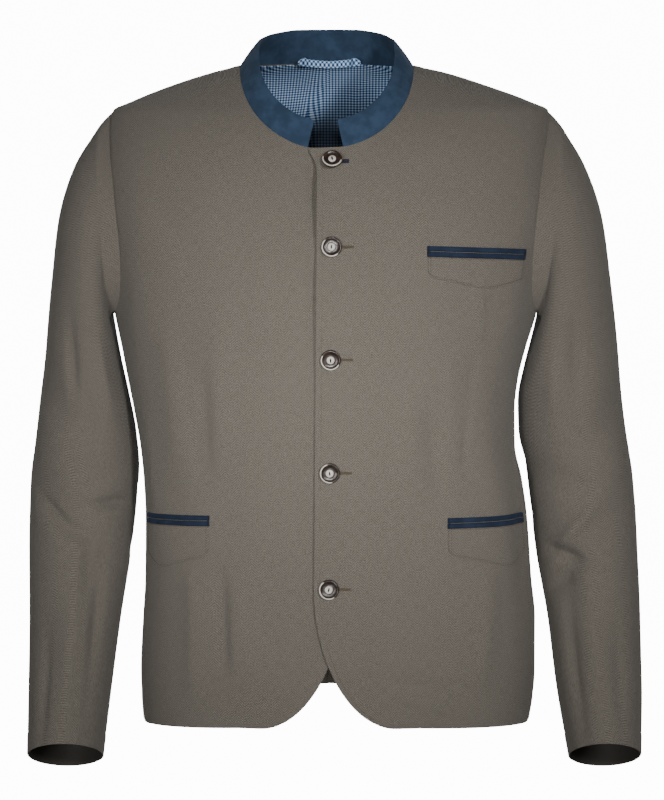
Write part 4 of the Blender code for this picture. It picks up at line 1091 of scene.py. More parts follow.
def make_loop(materials):
    """Hanger loop: a folded band on the bias, puffed at both ends."""
    count, around = 60, 16
    x = np.linspace(-LOOP_HALF, LOOP_HALF, count + 1) + LOOP_SHIFT
    part = np.linspace(-1.0, 1.0, count + 1)
    puff = np.exp(-((np.abs(part) - 0.80) / 0.10) ** 2)
    rise = 0.0016 * puff - 0.0004 * np.cos(np.pi * part)
    middle_z = NECK_BACK_Z - LOOP_DROP - 0.5 * LOOP_HEIGHT + rise
    half = np.where(x > 0.0, body_value("left_half", middle_z), body_value("right_half", middle_z))
    angle = 180.0 - np.degrees(np.arcsin(np.abs(x) / half))
    angle = np.where(x < 0.0, -angle, angle)
    seat, normals, _ = lining_skin(angle, middle_z)
    stand = 0.0012 + LINING_WALL + LOOP_BULGE * np.sin(np.pi * (part + 1.0) / 2.0) ** 2 + 0.0012 * puff
    half_height = (0.5 * LOOP_HEIGHT) * (1.0 + 0.16 * puff) * np.sqrt(np.clip(1.05 - part ** 12, 0.05, 1.0))
    half_thick = 0.0007 * (1.0 + 0.9 * puff)
    up = np.array((0.0, 0.0, 1.0))
    points, uv = [], []
    for k in range(around):
        turn = 2.0 * np.pi * k / around
        rim = np.sign(np.cos(turn)) * abs(np.cos(turn)) ** 0.8
        row = seat - normals * (stand + half_thick * np.sin(turn))[:, None] + up * (half_height * rim)[:, None]
        points.append(row)
        flat = k / around * 2.4 * LOOP_HEIGHT
        uv.append(np.stack(((x + flat) * 0.7071, (x - flat) * 0.7071), -1))
    points, uv = np.array(points), np.array(uv)
    columns = count + 1
    index = np.arange(around * columns).reshape(around, columns)
    after = np.roll(index, -1, axis=0)
    faces = np.stack((index[:, :-1], index[:, 1:], after[:, 1:], after[:, :-1]), -1).reshape(-1, 4)
    half_ring = np.arange(around // 2)
    caps = [np.stack((index[half_ring[:-1], c], index[half_ring[:-1] + 1, c],
                      index[-half_ring[:-1] - 2, c], index[-half_ring[:-1] - 1, c]), -1) for c in (0, -1)]
    faces = np.concatenate((faces, caps[0][:, ::-1], caps[1]))
    return make_piece("hanger_band", points.reshape(-1, 3), faces, uv.reshape(-1, 2), materials)


# Pockets


def pocket_places(pocket, part, drop, inset=0.0):
    """Places across a pocket at depths below its top edge."""
    top = pocket.top_inner + (pocket.top_outer - pocket.top_inner) * part
    z = top - drop
    start = np.abs(angle_at(pocket.side * (pocket.inner_x + inset), z))
    return pocket.side * (start + (pocket.outer_angle - start) * part), z


def flap_drop(pocket, part):
    """Depth of the flap below its top: blunt point, rounded inner corner."""
    before = pocket.drop + (pocket.point - pocket.drop) * part / pocket.point_place
    rest = (1.0 - part) / (1.0 - pocket.point_place)
    after = pocket.drop + (pocket.point - pocket.drop) * rest
    drop = np.minimum(before, after)
    drop = drop - 0.0012 * np.exp(-((part - pocket.point_place) / 0.05) ** 2)
    corner = np.clip(1.0 - part / 0.07, 0.0, 1.0)
    return drop - 0.0045 * corner ** 2.2


def lifted(angle, z, lift):
    """Points at a height above the fronts' cloth, and the ways out of it."""
    points, normals = panel_points(angle, z)
    return points + normals * np.asarray(lift)[..., None], normals


def make_piping(name, pocket, top, materials):
    """One rounded piping of a pocket, tucked in at its ends."""
    part = fine_marks(np.array((0.0, POCKET_WIDTH)), 0.0022)[None, :]
    depth = np.linspace(0.0, 1.0, 13)[:, None]
    angle, z = pocket_places(pocket, part, top + PIPING_HEIGHT * depth + 0.0 * part)
    ends = np.sqrt(np.clip(1.0 - (1.0 - np.minimum(part, 1.0 - part) / 0.025).clip(0.0, 1.0) ** 2, 0.0, 1.0))
    crown = np.sqrt(np.clip(1.0 - np.abs(2.0 * depth - 1.0) ** 2.4, 0.0, 1.0)) * (0.35 + 0.65 * ends)
    waver = 1.0 + 0.10 * np.sin(part * 31.0 + top * 900.0) + 0.06 * np.sin(part * 67.0)
    points, normals = lifted(angle, z, TRIM_GAP + 0.0004 + PIPING_WALL * crown * waver)
    uv = np.stack(np.broadcast_arrays(part * POCKET_WIDTH, -depth * PIPING_HEIGHT), -1)
    base, _ = lifted(angle, z, np.full(angle.shape, TRIM_GAP))
    return between(name, points, base, uv, materials)


def make_flap(name, pocket, materials):
    """The flap below the pipings, nearly flush with the front."""
    part = fine_marks(np.array((0.0, POCKET_WIDTH)), TRIM_STEP)[None, :]
    share = fine_marks(np.array((0.0, pocket.point)), TRIM_STEP)[:, None]
    drop = FLAP_START + share * flap_drop(pocket, part)
    angle, z = pocket_places(pocket, part, drop, FLAP_INSET)
    waver = 0.0002 * np.sin(part * 14.0 + 1.0) * share + 0.0003 * share * np.sin(part * 5.0)
    points, normals = lifted(angle, z, TRIM_GAP + 0.0008 + waver)
    note_cut(name, points)
    return shell(name, points, normals, grain_map(angle, z), materials, wall=FLAP_WALL)


# Buttons


def button_outline():
    """Half outline of a button: a raised middle, a dished ring, a bevelled rim and a flat back."""
    r = BUTTON_RADIUS
    return np.array((
        (0.0, 0.00330), (0.12 * r, 0.00330), (0.24 * r, 0.00322), (0.33 * r, 0.00300), (0.38 * r, 0.00262),
        (0.41 * r, 0.00226), (0.46 * r, 0.00222), (0.56 * r, 0.00226), (0.68 * r, 0.00248), (0.76 * r, 0.00292),
        (0.81 * r, 0.00342), (0.86 * r, 0.00360), (0.92 * r, 0.00350), (0.97 * r, 0.00300), (r, 0.00210),
        (0.99 * r, 0.00130), (0.92 * r, 0.00050), (0.70 * r, 0.00010), (0.35 * r, 0.0), (0.0, 0.0)))


def make_button(number, height, materials):
    """A turned button with a pale metal middle, its sewing slot, and a painted highlight on part of its bevelled
    rim.
    """
    angle = angle_at(closing_x(height) + BUTTON_X, height)
    points, normals = panel_points(angle, height)
    out = unit(normals)
    right = unit(np.cross(np.array((0.0, 0.0, 1.0)), out))
    up = np.cross(out, right)
    seat = points + out * (BUTTON_LIFT + (TOP_BUTTON_LIFT if number == 1 else 0.0))
    tip = np.radians(TOP_BUTTON_TIP if number == 1 else 0.0)
    out, up = out * np.cos(tip) + up * np.sin(tip), up * np.cos(tip) - out * np.sin(tip)
    outline = button_outline()
    around = BUTTON_SIDES
    turn = np.linspace(0.0, 2.0 * np.pi, around, endpoint=False)
    ring = outline[1:-1]
    flat = np.stack(np.broadcast_arrays(ring[:, 0:1] * np.cos(turn), ring[:, 0:1] * np.sin(turn),
                                        ring[:, 1:2] + 0.0 * turn), -1)
    grip = 0.00008 * np.sin(turn * 5.0 + number)[None, :] * (ring[:, 0:1] > 0.5 * BUTTON_RADIUS)
    flat[..., 2] += grip
    rings = len(ring)
    vertices = np.concatenate((flat.reshape(-1, 3), [(0.0, 0.0, outline[0, 1]), (0.0, 0.0, outline[-1, 1])]))
    index = np.arange(rings * around).reshape(rings, around)
    after = np.roll(index, -1, axis=1)
    quads = np.stack((index[:-1], index[1:], after[1:], after[:-1]), -1).reshape(-1, 4).tolist()
    top, bottom = rings * around, rings * around + 1
    quads += [[top, index[0, k], after[0, k]] for k in range(around)]
    quads += [[bottom, after[-1, k], index[-1, k]] for k in range(around)]
    marks = [0] * len(quads)
    slot = []
    lean = np.radians(12.0 * np.sin(number * 2.1))
    sides = SLOT_SIDES
    for k in range(sides):
        swing = 2.0 * np.pi * k / sides
        x, y = SLOT_HALF_WIDTH * np.cos(swing), SLOT_HALF_LENGTH * np.sin(swing)
        slot.append((x * np.cos(lean) - y * np.sin(lean), x * np.sin(lean) + y * np.cos(lean)))
    first = len(vertices)
    low = [(x, y, 0.0030) for x, y in slot]
    high = [(x * 0.92, y * 0.97, 0.00342) for x, y in slot]
    vertices = np.concatenate((vertices, low, high))
    quads += [[first + k, first + (k + 1) % sides, first + sides + (k + 1) % sides, first + sides + k]
              for k in range(sides)]
    quads += [[first + sides + k for k in range(sides)], [first + k for k in reversed(range(sides))]]
    marks += [1] * (sides + 2)
    place = seat + vertices[:, 0:1] * right + vertices[:, 1:2] * up + vertices[:, 2:3] * out
    mesh = bpy.data.meshes.new("button_%d_turned" % number)
    mesh.from_pydata(place.tolist(), [], quads)
    for material in materials:
        mesh.materials.append(material)
    mesh.polygons.foreach_set("material_index", marks)
    reach = np.hypot(vertices[:, 0], vertices[:, 1]) / BUTTON_RADIUS
    swing = np.degrees(np.arctan2(vertices[:, 1], vertices[:, 0]))
    # Painted highlight: a pale crescent on part of the bevel, turned for each button, stands in for light caught by
    # the rim; the pale middle is metal.
    middle = BUTTON_HIGHLIGHT_TURNS[number - 1] + 45.0
    away = np.abs((swing - middle + 180.0) % 360.0 - 180.0)
    bevel = np.exp(-((reach - 0.89) / 0.075) ** 2) * smooth_step((105.0 - away) / 25.0)
    pale = np.maximum(smooth_step((0.40 - reach) / 0.04), bevel)
    mesh.attributes.new("pale", "FLOAT", "POINT").data.foreach_set("value", pale.astype(np.float32))
    layer = mesh.uv_layers.new(name="Cloth")
    corners = np.zeros(len(mesh.loops), np.int32)
    mesh.loops.foreach_get("vertex_index", corners)
    layer.data.foreach_set("uv", vertices[corners, :2].astype(np.float32).ravel())
    mesh.shade_smooth()
    mesh.set_sharp_from_angle(angle=np.radians(50.0))
    return add_object(mesh.name, mesh)


# Sewing

def stitch_shape(name):
    """One low stitch, 1 m long along X and 1 m thick, to be scaled: a rounded bar with dipped ends."""
    sides, rings = 6, ((-0.5, 0.0, -0.6), (-0.36, 0.8, -0.15), (0.0, 1.0, 0.0), (0.36, 0.8, -0.15), (0.5, 0.0, -0.6))
    points, faces = [], []
    for x, size, drop in rings[1:-1]:
        for k in range(sides):
            turn = 2.0 * np.pi * k / sides
            points.append((x, 0.5 * size * np.cos(turn), 0.5 * size * np.sin(turn) + 0.5 * drop))
    first, last = len(points), len(points) + 1
    points += [(rings[0][0], 0.0, 0.5 * rings[0][2]), (rings[-1][0], 0.0, 0.5 * rings[-1][2])]
    for ring in range(2):
        for k in range(sides):
            a, b = ring * sides + k, ring * sides + (k + 1) % sides
            faces.append((a, b, b + sides, a + sides))
    for k in range(sides):
        faces.append((first, (k + 1) % sides, k))
        faces.append((last, 2 * sides + k, 2 * sides + (k + 1) % sides))
    mesh = bpy.data.meshes.new(name)
    mesh.from_pydata(points, [], faces)
    mesh.shade_smooth()
    return bpy.data.objects.new(name, mesh)


def sewing_tree():
    """Places a stitch at even steps along a line of thread, turned with it, and gives it its thread."""
    tree = bpy.data.node_groups.new("stitches_along_a_line", "GeometryNodeTree")
    face = tree.interface
    face.new_socket("Line", in_out="INPUT", socket_type="NodeSocketGeometry")
    for label, default in (("Spacing", 0.003), ("Stitch Length", 0.0024), ("Thickness", 0.0005),
                           ("Quarter Turns", 0.0), ("Unevenness", 0.12)):
        face.new_socket(label, in_out="INPUT", socket_type="NodeSocketFloat").default_value = default
    face.new_socket("Stitch", in_out="INPUT", socket_type="NodeSocketObject")
    face.new_socket("Thread", in_out="INPUT", socket_type="NodeSocketMaterial")
    face.new_socket("Sewing", in_out="OUTPUT", socket_type="NodeSocketGeometry")
    node = tree.nodes.new

    def join(source, output, target, entry):
        tree.links.new(source.outputs[output], target.inputs[entry])

    start, end = node("NodeGroupInput"), node("NodeGroupOutput")
    curve = node("GeometryNodeMeshToCurve")
    join(start, "Line", curve, "Mesh")
    carry = node("GeometryNodeCaptureAttribute")
    carry.domain = "POINT"
    carry.capture_items.new("VECTOR", "Out")
    named = node("GeometryNodeInputNamedAttribute")
    named.data_type = "FLOAT_VECTOR"
    named.inputs["Name"].default_value = "out_of_cloth"
    join(curve, "Curve", carry, "Geometry")
    join(named, "Attribute", carry, "Out")
    even = node("GeometryNodeCurveToPoints")
    even.mode = "LENGTH"
    join(carry, "Geometry", even, "Curve")
    join(start, "Spacing", even, "Length")
    along = node("FunctionNodeAlignRotationToVector")
    along.axis = "X"
    join(even, "Tangent", along, "Vector")
    upward = node("FunctionNodeAlignRotationToVector")
    upward.axis = "Z"
    upward.pivot_axis = "X"
    join(along, "Rotation", upward, "Rotation")
    join(carry, "Out", upward, "Vector")
    quarter = node("ShaderNodeMath")
    quarter.operation = "MULTIPLY"
    quarter.inputs[1].default_value = np.pi / 2.0
    join(start, "Quarter Turns", quarter, 0)
    swing = node("ShaderNodeCombineXYZ")
    join(quarter, "Value", swing, "Z")
    turned = node("FunctionNodeRotateRotation")
    turned.rotation_space = "LOCAL"
    join(upward, "Rotation", turned, "Rotation")
    join(swing, "Vector", turned, "Rotate By")
    chance = node("FunctionNodeRandomValue")
    chance.data_type = "FLOAT"
    chance.inputs["Seed"].default_value = STITCH_SEED
    least, most = node("ShaderNodeMath"), node("ShaderNodeMath")
    least.operation, most.operation = "SUBTRACT", "ADD"
    least.inputs[0].default_value = most.inputs[0].default_value = 1.0
    join(start, "Unevenness", least, 1)
    join(start, "Unevenness", most, 1)
    join(least, "Value", chance, 2)
    join(most, "Value", chance, 3)
    long = node("ShaderNodeMath")
    long.operation = "MULTIPLY"
    join(start, "Stitch Length", long, 0)
    join(chance, 1, long, 1)
    size = node("ShaderNodeCombineXYZ")
    join(long, "Value", size, "X")
    join(start, "Thickness", size, "Y")
    join(start, "Thickness", size, "Z")
    shape = node("GeometryNodeObjectInfo")
    join(start, "Stitch", shape, "Object")
    place = node("GeometryNodeInstanceOnPoints")
    join(even, "Points", place, "Points")
    join(shape, "Geometry", place, "Instance")
    join(turned, "Rotation", place, "Rotation")
    join(size, "Vector", place, "Scale")
    real = node("GeometryNodeRealizeInstances")
    join(place, "Instances", real, "Geometry")
    thread = node("GeometryNodeSetMaterial")
    join(real, "Geometry", thread, "Geometry")
    join(start, "Thread", thread, "Material")
    join(thread, "Geometry", end, "Sewing")
    return tree


def sew(name, lines, stitch, tree, thread, spacing, length, thickness, quarter_turns):
    """Runs stitches along lines of points with their ways out of the cloth; returns a plain mesh object."""
    points, edges, ways = [], [], []
    for line, normals in lines:
        first = len(points)
        points += line.tolist()
        ways += np.broadcast_to(normals, line.shape).tolist()
        edges += [(first + k, first + k + 1) for k in range(len(line) - 1)]
    mesh = bpy.data.meshes.new(name + "_line")
    mesh.from_pydata(points, edges, [])
    out = mesh.attributes.new("out_of_cloth", "FLOAT_VECTOR", "POINT")
    out.data.foreach_set("vector", np.asarray(ways, np.float32).ravel())
    guide = add_object(name + "_line", mesh)
    modifier = guide.modifiers.new("Stitches", "NODES")
    modifier.node_group = tree
    values = {"Spacing": spacing, "Stitch Length": length, "Thickness": thickness,
              "Quarter Turns": quarter_turns, "Stitch": stitch, "Thread": thread}
    for socket in tree.interface.items_tree:
        if socket.in_out == "INPUT" and socket.name in values:
            modifier[socket.identifier] = values[socket.name]
    bpy.context.view_layer.update()
    result = bpy.data.meshes.new_from_object(guide.evaluated_get(bpy.context.evaluated_depsgraph_get()))
    guide.modifiers.remove(modifier)
    bpy.data.objects.remove(guide)
    if not result.polygons:
        raise RuntimeError("No stitches came out for " + name)
    result.name = name
    return add_object(name, result)


# Materials


def colour_of(srgb):
    """Linear colour, with alpha, of a colour given as 0 to 255."""
    value = np.array(srgb[:3], float) / 255.0
    linear = np.where(value <= 0.04045, value / 12.92, ((value + 0.055) / 1.055) ** 2.4)
    return tuple(linear) + (1.0,)


def toned(colour, share=1.0):
    """A colour made darker or lighter, with its alpha."""
    return [c * share for c in list(colour)[:3]] + [1.0]


class Shade:
    """A new material, and short ways to add its nodes."""

    def __init__(self, name):
        self.material = bpy.data.materials.new(name)
        self.material.use_nodes = True
        self.nodes, self.link = self.material.node_tree.nodes, self.material.node_tree.links.new

    def surface(self, height=None, strength=0.0, distance=0.0, **values):
        """Gives the shader its bump and its values, named with low lines for spaces."""
        shader = self.nodes["Principled BSDF"]
        for label, value in values.items():
            self.put(shader.inputs[label.replace("_", " ")], value)
        if height is not None:
            self.link(self.bump(height, strength, distance), shader.inputs["Normal"])
        return self.material

    def put(self, socket, value):
        if isinstance(value, bpy.types.NodeSocket):
            self.link(value, socket)
        else:
            socket.default_value = value

    def maths(self, operation, first, second=0.0, clamp=False):
        node = self.nodes.new("ShaderNodeMath")
        node.operation, node.use_clamp = operation, clamp
        self.put(node.inputs[0], first)
        self.put(node.inputs[1], second)
        return node.outputs[0]

    def mix(self, part, first, second):
        node = self.nodes.new("ShaderNodeMix")
        node.data_type = "RGBA"
        self.put(node.inputs[0], part)
        self.put(node.inputs[6], first)
        self.put(node.inputs[7], second)
        return node.outputs[2]

    def noise(self, vector, scale, detail=2.0, roughness=0.5):
        node = self.nodes.new("ShaderNodeTexNoise")
        self.put(node.inputs["Vector"], vector)
        node.inputs["Scale"].default_value = scale
        node.inputs["Detail"].default_value = detail
        node.inputs["Roughness"].default_value = roughness
        return node.outputs[0]

    def stretch(self, vector, scale, turn=0.0):
        node = self.nodes.new("ShaderNodeMapping")
        self.put(node.inputs["Vector"], vector)
        node.inputs["Scale"].default_value = scale
        node.inputs["Rotation"].default_value = (0.0, 0.0, turn)
        return node.outputs[0]

    def ramp(self, value, low, high):
        node = self.nodes.new("ShaderNodeMapRange")
        node.interpolation_type = "SMOOTHSTEP"
        self.put(node.inputs["Value"], value)
        node.inputs["From Min"].default_value = low
        node.inputs["From Max"].default_value = high
        return node.outputs[0]

    def bump(self, height, strength, distance):
        node = self.nodes.new("ShaderNodeBump")
        self.put(node.inputs["Height"], height)
        node.inputs["Strength"].default_value = strength
        node.inputs["Distance"].default_value = distance
        return node.outputs[0]

    def cloth_map(self):
        node = self.nodes.new("ShaderNodeUVMap")
        node.uv_map = "Cloth"
        return node.outputs[0]

    def place(self):
        return self.nodes.new("ShaderNodeTexCoord").outputs["Object"]

    def split(self, vector):
        node = self.nodes.new("ShaderNodeSeparateXYZ")
        self.put(node.inputs[0], vector)
        return node.outputs


def woven_cloth(name, sizes):
    """Linen and wool cloth: light slubbed threads over dark ones in a small broken herringbone."""
    s = Shade(name)
    grain = s.cloth_map()
    across, up, _ = s.split(grain)
    wander = s.noise(grain, 300.0, 2.0)
    band = s.maths("DIVIDE", across, sizes.herringbone_width)
    zigzag = s.maths("PINGPONG", band, 1.0)
    slope = s.maths("MULTIPLY", zigzag, sizes.herringbone_width)
    stair = s.maths("ADD", s.maths("DIVIDE", s.maths("ADD", up, slope), sizes.weave_pitch),
                    s.maths("MULTIPLY", wander, 0.55))
    wave = s.maths("PINGPONG", stair, 0.5)
    twill = s.ramp(wave, 0.12, 0.40)
    fine = s.noise(s.stretch(grain, (2200.0, 900.0, 1.0)), 1.0, 2.0, 0.6)
    slub_up = s.noise(s.stretch(grain, (1500.0, 120.0, 1.0)), 1.0, 3.0, 0.6)
    slub_across = s.noise(s.stretch(grain, (140.0, 1500.0, 1.0)), 1.0, 3.0, 0.6)
    threads = s.maths("ADD", s.maths("MULTIPLY", slub_up, 0.55), s.maths("MULTIPLY", slub_across, 0.45))
    fleck = s.ramp(s.noise(grain, 900.0, 2.0, 0.7), 0.40, 0.68)
    depth = s.maths("ADD", s.maths("MULTIPLY", twill, 0.42), s.maths("MULTIPLY", fleck, 0.45))
    depth = s.maths("ADD", depth, s.maths("MULTIPLY", s.maths("SUBTRACT", threads, 0.5), 1.5))
    depth = s.maths("ADD", depth, s.maths("MULTIPLY", s.maths("SUBTRACT", fine, 0.5), 0.8), clamp=True)
    colour = s.mix(depth, toned(sizes.dark_thread), toned(sizes.light_thread))
    mottle = s.ramp(s.noise(s.place(), 14.0, 3.0), 0.30, 0.72)
    colour = s.mix(s.maths("MULTIPLY", mottle, 0.10), colour, toned(sizes.light_thread, 0.72))
    height = s.maths("ADD", s.maths("MULTIPLY", twill, 0.5), s.maths("MULTIPLY", fine, 0.6))
    height = s.maths("ADD", height, s.maths("MULTIPLY", threads, 0.8))
    return s.surface(height, 0.55, 0.0004, Base_Color=colour, Roughness=0.93, Specular_IOR_Level=0.18,
                     Sheen_Weight=0.10, Sheen_Roughness=0.6)


def brushed_blue(name, base, edge_light=0.16):
    """Dark blue suede-like cloth with a short nap that lies one way here and another way there."""
    s = Shade(name)
    grain = s.cloth_map()
    place = s.place()
    patches = s.ramp(s.noise(place, 60.0, 3.0, 0.6), 0.34, 0.68)
    nap = s.noise(s.stretch(grain, (2600.0, 1500.0, 1.0), 0.5), 1.0, 2.0, 0.7)
    fuzz = s.noise(place, 1700.0, 2.0, 0.7)
    light = [c * 1.55 + 0.003 for c in base[:3]] + [1.0]
    part = s.maths("ADD", s.maths("MULTIPLY", patches, 0.42), s.maths("MULTIPLY", nap, 0.34))
    part = s.maths("ADD", part, s.maths("MULTIPLY", fuzz, 0.22), clamp=True)
    return s.surface(s.maths("ADD", nap, fuzz), 0.35, 0.0003, Base_Color=s.mix(part, toned(base, 0.62), light),
                     Roughness=0.95, Specular_IOR_Level=0.12, Sheen_Weight=edge_light, Sheen_Roughness=0.45,
                     Sheen_Tint=(0.55, 0.68, 0.85, 1.0))


def gingham(name, sizes):
    """Small woven checks: white, blue and dark where both ways' coloured threads cross, with painted shade low down.
    """
    s = Shade(name)
    grain = s.cloth_map()
    across, up, _ = s.split(grain)
    half = 0.5 * sizes.check_pitch
    wander = s.maths("MULTIPLY", s.maths("SUBTRACT", s.noise(grain, 700.0, 1.0), 0.5), 0.10)
    bars = []
    for way in (across, up):
        part = s.maths("PINGPONG", s.maths("ADD", s.maths("DIVIDE", way, 2.0 * half), wander), 0.5)
        bars.append(s.ramp(part, 0.22, 0.28))
    both = s.maths("MULTIPLY", s.maths("ADD", bars[0], bars[1]), 0.5)
    first = s.mix(s.ramp(both, 0.05, 0.45), toned(sizes.white), toned(sizes.middle_blue))
    colour = s.mix(s.ramp(both, 0.55, 0.95), first, toned(sizes.dark_blue))
    thread = s.noise(s.stretch(grain, (5200.0, 2400.0, 1.0)), 1.0, 1.0)
    colour = s.mix(s.maths("MULTIPLY", thread, 0.12), colour, (0.10, 0.14, 0.22, 1.0))
    # Painted shade: below the shade top the checks fade to near black, standing in for the shadow deep inside the
    # jacket.
    low = s.ramp(s.split(s.place())[2], sizes.shade_top - 0.045, sizes.shade_top)
    deep = s.maths("MULTIPLY", s.maths("SUBTRACT", 1.0, low), sizes.shade)
    colour = s.mix(deep, colour, (0.004, 0.005, 0.010, 1.0))
    return s.surface(thread, 0.25, 0.0002, Base_Color=colour, Roughness=0.82, Specular_IOR_Level=0.25)


def plain_inside(name, base):
    """Dark plain cloth on the inside of the sleeves."""
    s = Shade(name)
    grain = s.cloth_map()
    thread = s.noise(s.stretch(grain, (1800.0, 2600.0, 1.0)), 1.0, 2.0)
    colour = s.mix(thread, toned(base, 0.6), toned(base, 1.4))
    return s.surface(thread, 0.2, 0.0002, Base_Color=colour, Roughness=0.7, Specular_IOR_Level=0.3)


def polished_horn(name, sizes):
    """Dark streaked horn with a pale metal middle, and a painted highlight on part of its bevel."""
    s = Shade(name)
    place = s.place()
    streak = s.noise(s.stretch(place, (260.0, 120.0, 620.0), 0.7), 1.0, 4.0, 0.6)
    cloud = s.noise(place, 160.0, 3.0)
    streaks = s.maths("ADD", s.maths("MULTIPLY", streak, 0.6), s.maths("MULTIPLY", cloud, 0.4))
    horn = s.mix(s.ramp(streaks, 0.36, 0.66), toned(sizes.horn_dark), toned(sizes.horn_warm))
    named = s.nodes.new("ShaderNodeAttribute")
    named.attribute_name = "pale"
    speck = s.noise(place, 900.0, 2.0)
    pale = s.mix(speck, toned(sizes.pale, 0.72), toned(sizes.pale))
    # Patchy noise moves the edges of the pale metal middle and of the painted highlight.
    patchy = s.maths("MULTIPLY", s.maths("SUBTRACT", cloud, 0.5), 0.25)
    part = s.ramp(s.maths("ADD", named.outputs["Fac"], patchy), 0.30, 0.72)
    return s.surface(speck, 0.10, 0.0002, Base_Color=s.mix(part, horn, pale),
                     Roughness=s.maths("ADD", 0.30, s.maths("MULTIPLY", part, 0.22)))


def twisted_thread(name, base):
    """Cotton thread, shiny along its twist."""
    s = Shade(name)
    twist = s.noise(s.place(), 2600.0, 1.0)
    colour = s.mix(twist, toned(base, 0.65), toned(base, 1.25))
    return s.surface(twist, 0.3, 0.0002, Base_Color=colour, Roughness=0.7, Specular_IOR_Level=0.3)


def plain_surround(name, colour, glow):
    """Pale studio paper for the floor and backdrop, lit from behind."""
    s = Shade(name)
    tone = s.noise(s.place(), 3.0, 2.0)
    paper = s.mix(tone, toned(colour, 0.985), toned(colour))
    return s.surface(Base_Color=paper, Emission_Color=paper, Emission_Strength=glow, Roughness=0.9,
                     Specular_IOR_Level=0.1)


# What the maker can change


def length_value(name, description, default):
    return bpy.props.FloatProperty(name=name, description=description, default=default, min=0.0, unit="LENGTH",
                                   precision=4)


def colour_value(name, description, srgb):
    return bpy.props.FloatVectorProperty(name=name, description=description, default=colour_of(srgb)[:3], size=3,
                                         min=0.0, max=1.0, subtype="COLOR")


def strength_value(name, description, default, most=10000.0):
    return bpy.props.FloatProperty(name=name, description=description, default=default, min=0.0, max=most,
                                   subtype="FACTOR" if most < 10.0 else "NONE")


class JacketCloth(bpy.types.PropertyGroup):
    """The main cloth, its hems and its creases."""
    crease_strength: strength_value("Crease Strength", "How deep the fine creases are", 2.4, 4.0)
    weave_pitch: length_value("Weave Pitch", "Height of one slanting rib of the weave", 0.0026)
    herringbone_width: length_value("Herringbone Width", "Width of one stripe of the weave", 0.0068)
    hem_depth: length_value("Hem Depth", "Distance of the hem's sewing from the bottom edge", 0.026)
    cuff_depth: length_value("Cuff Depth", "Distance of the cuff's sewing from its edge", 0.024)
    light_thread: colour_value("Light Thread", "Colour of the light threads", (128, 122, 113))
    dark_thread: colour_value("Dark Thread", "Colour of the dark threads", (78, 73, 66))
    inside: colour_value("Sleeve Inside", "Colour of the plain cloth inside the sleeves", (58, 54, 50))


class JacketTrim(bpy.types.PropertyGroup):
    """The blue cloth of the collar and the pipings."""
    collar: colour_value("Collar", "Colour of the collar", (46, 63, 84))
    piping: colour_value("Piping", "Colour of the pipings", (32, 42, 60))


class JacketLining(bpy.types.PropertyGroup):
    """The checked lining and the hanger loop."""
    check_pitch: length_value("Check Pitch", "Width of one light and one dark bar", 0.0033)
    white: colour_value("White", "Colour of the white checks", (220, 240, 255))
    middle_blue: colour_value("Middle Blue", "Colour where one way's threads are blue", (108, 152, 204))
    dark_blue: colour_value("Dark Blue", "Colour where both ways' threads are blue", (18, 36, 82))
    # Shade and Shade Top set the painted shade on the lower lining.
    shade: strength_value("Shade", "How dark the lining is where it lies deep inside", 0.90, 1.0)
    shade_top: bpy.props.FloatProperty(name="Shade Top", description="Height at which the deep shade begins",
                                       default=-0.026, unit="LENGTH", precision=4)


class JacketButtons(bpy.types.PropertyGroup):
    """The buttons."""
    horn_dark: colour_value("Dark Horn", "Darkest colour of the horn", (26, 19, 16))
    horn_warm: colour_value("Warm Horn", "Streaks of the horn", (60, 45, 36))
    # Colour of the pale metal middle and of the painted highlight on the bevel; the highlight is painted light, not
    # wear.
    pale: colour_value("Pale Parts", "Colour of the metal middle and the worn bevel", (214, 208, 196))


class JacketSewing(bpy.types.PropertyGroup):
    """Threads and stitches."""
    spacing: length_value("Spacing", "Distance from one stitch to the next", 0.0026)
    length: length_value("Length", "Length of a stitch", 0.0021)
    thickness: length_value("Thickness", "Thickness of the thread", 0.00042)
    edge_thread: colour_value("Edge Thread", "Thread along the front edge", (84, 76, 62))
    flap_thread: colour_value("Flap Thread", "Thread round the flaps", (62, 48, 38))
    pocket_thread: colour_value("Pocket Thread", "Thread below the pipings", (98, 62, 44))
    tack_thread: colour_value("Tack Thread", "Thread of the tacks at the pockets' ends", (26, 32, 52))
    hole_thread: colour_value("Buttonhole Thread", "Thread of the buttonholes", (88, 76, 54))
    top_hole_thread: colour_value("Top Buttonhole Thread", "Thread of the top buttonhole", (40, 38, 58))


class JacketStage(bpy.types.PropertyGroup):
    """Light and surround."""
    chest: strength_value("Chest Light", "Strength of the soft pool on the chest", 590.0)
    key: strength_value("Main Light", "Strength of the main light", 82.0)
    fill: strength_value("Side Light", "Strength of the side light", 54.0)
    back: strength_value("Back Light", "Strength of the light behind", 40.0)
    surround_light: strength_value("Surround Light", "Strength of the even light", 0.14)
    paper_glow: strength_value("Paper Glow", "Own light of the paper", 14.0)
    paper: colour_value("Paper", "Colour of the floor and backdrop", (250, 250, 250))


# Putting pieces in their places

CUTS = {}


def quad_areas(points):
    """Area of all the faces of a grid of points."""
    first = points[1:, 1:] - points[:-1, :-1]
    second = points[1:, :-1] - points[:-1, 1:]
    return 0.5 * np.linalg.norm(np.cross(first, second), axis=-1).sum()


def note_cut(name, points):
    """Keeps the flat size of a piece of cloth: its greatest width and length, and its area."""
    width = float(lengths(points, 1)[:, -1].max())
    length = float(lengths(points, 0)[-1].max())
    CUTS[name] = (width, length, min(float(quad_areas(points)), width * length))


def settle(thing, slot, *nodes):
    """Makes a piece stand for its solids and stay with the jacket; the slot is not used."""
    if nodes:
        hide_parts(*nodes)
    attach(thing, "root")


def material_once(name, maker, *values):
    return bpy.data.materials.get(name) or maker(name, *values)


def main_cloth():
    return material_once("linen_and_wool", woven_cloth, scene_sizes())


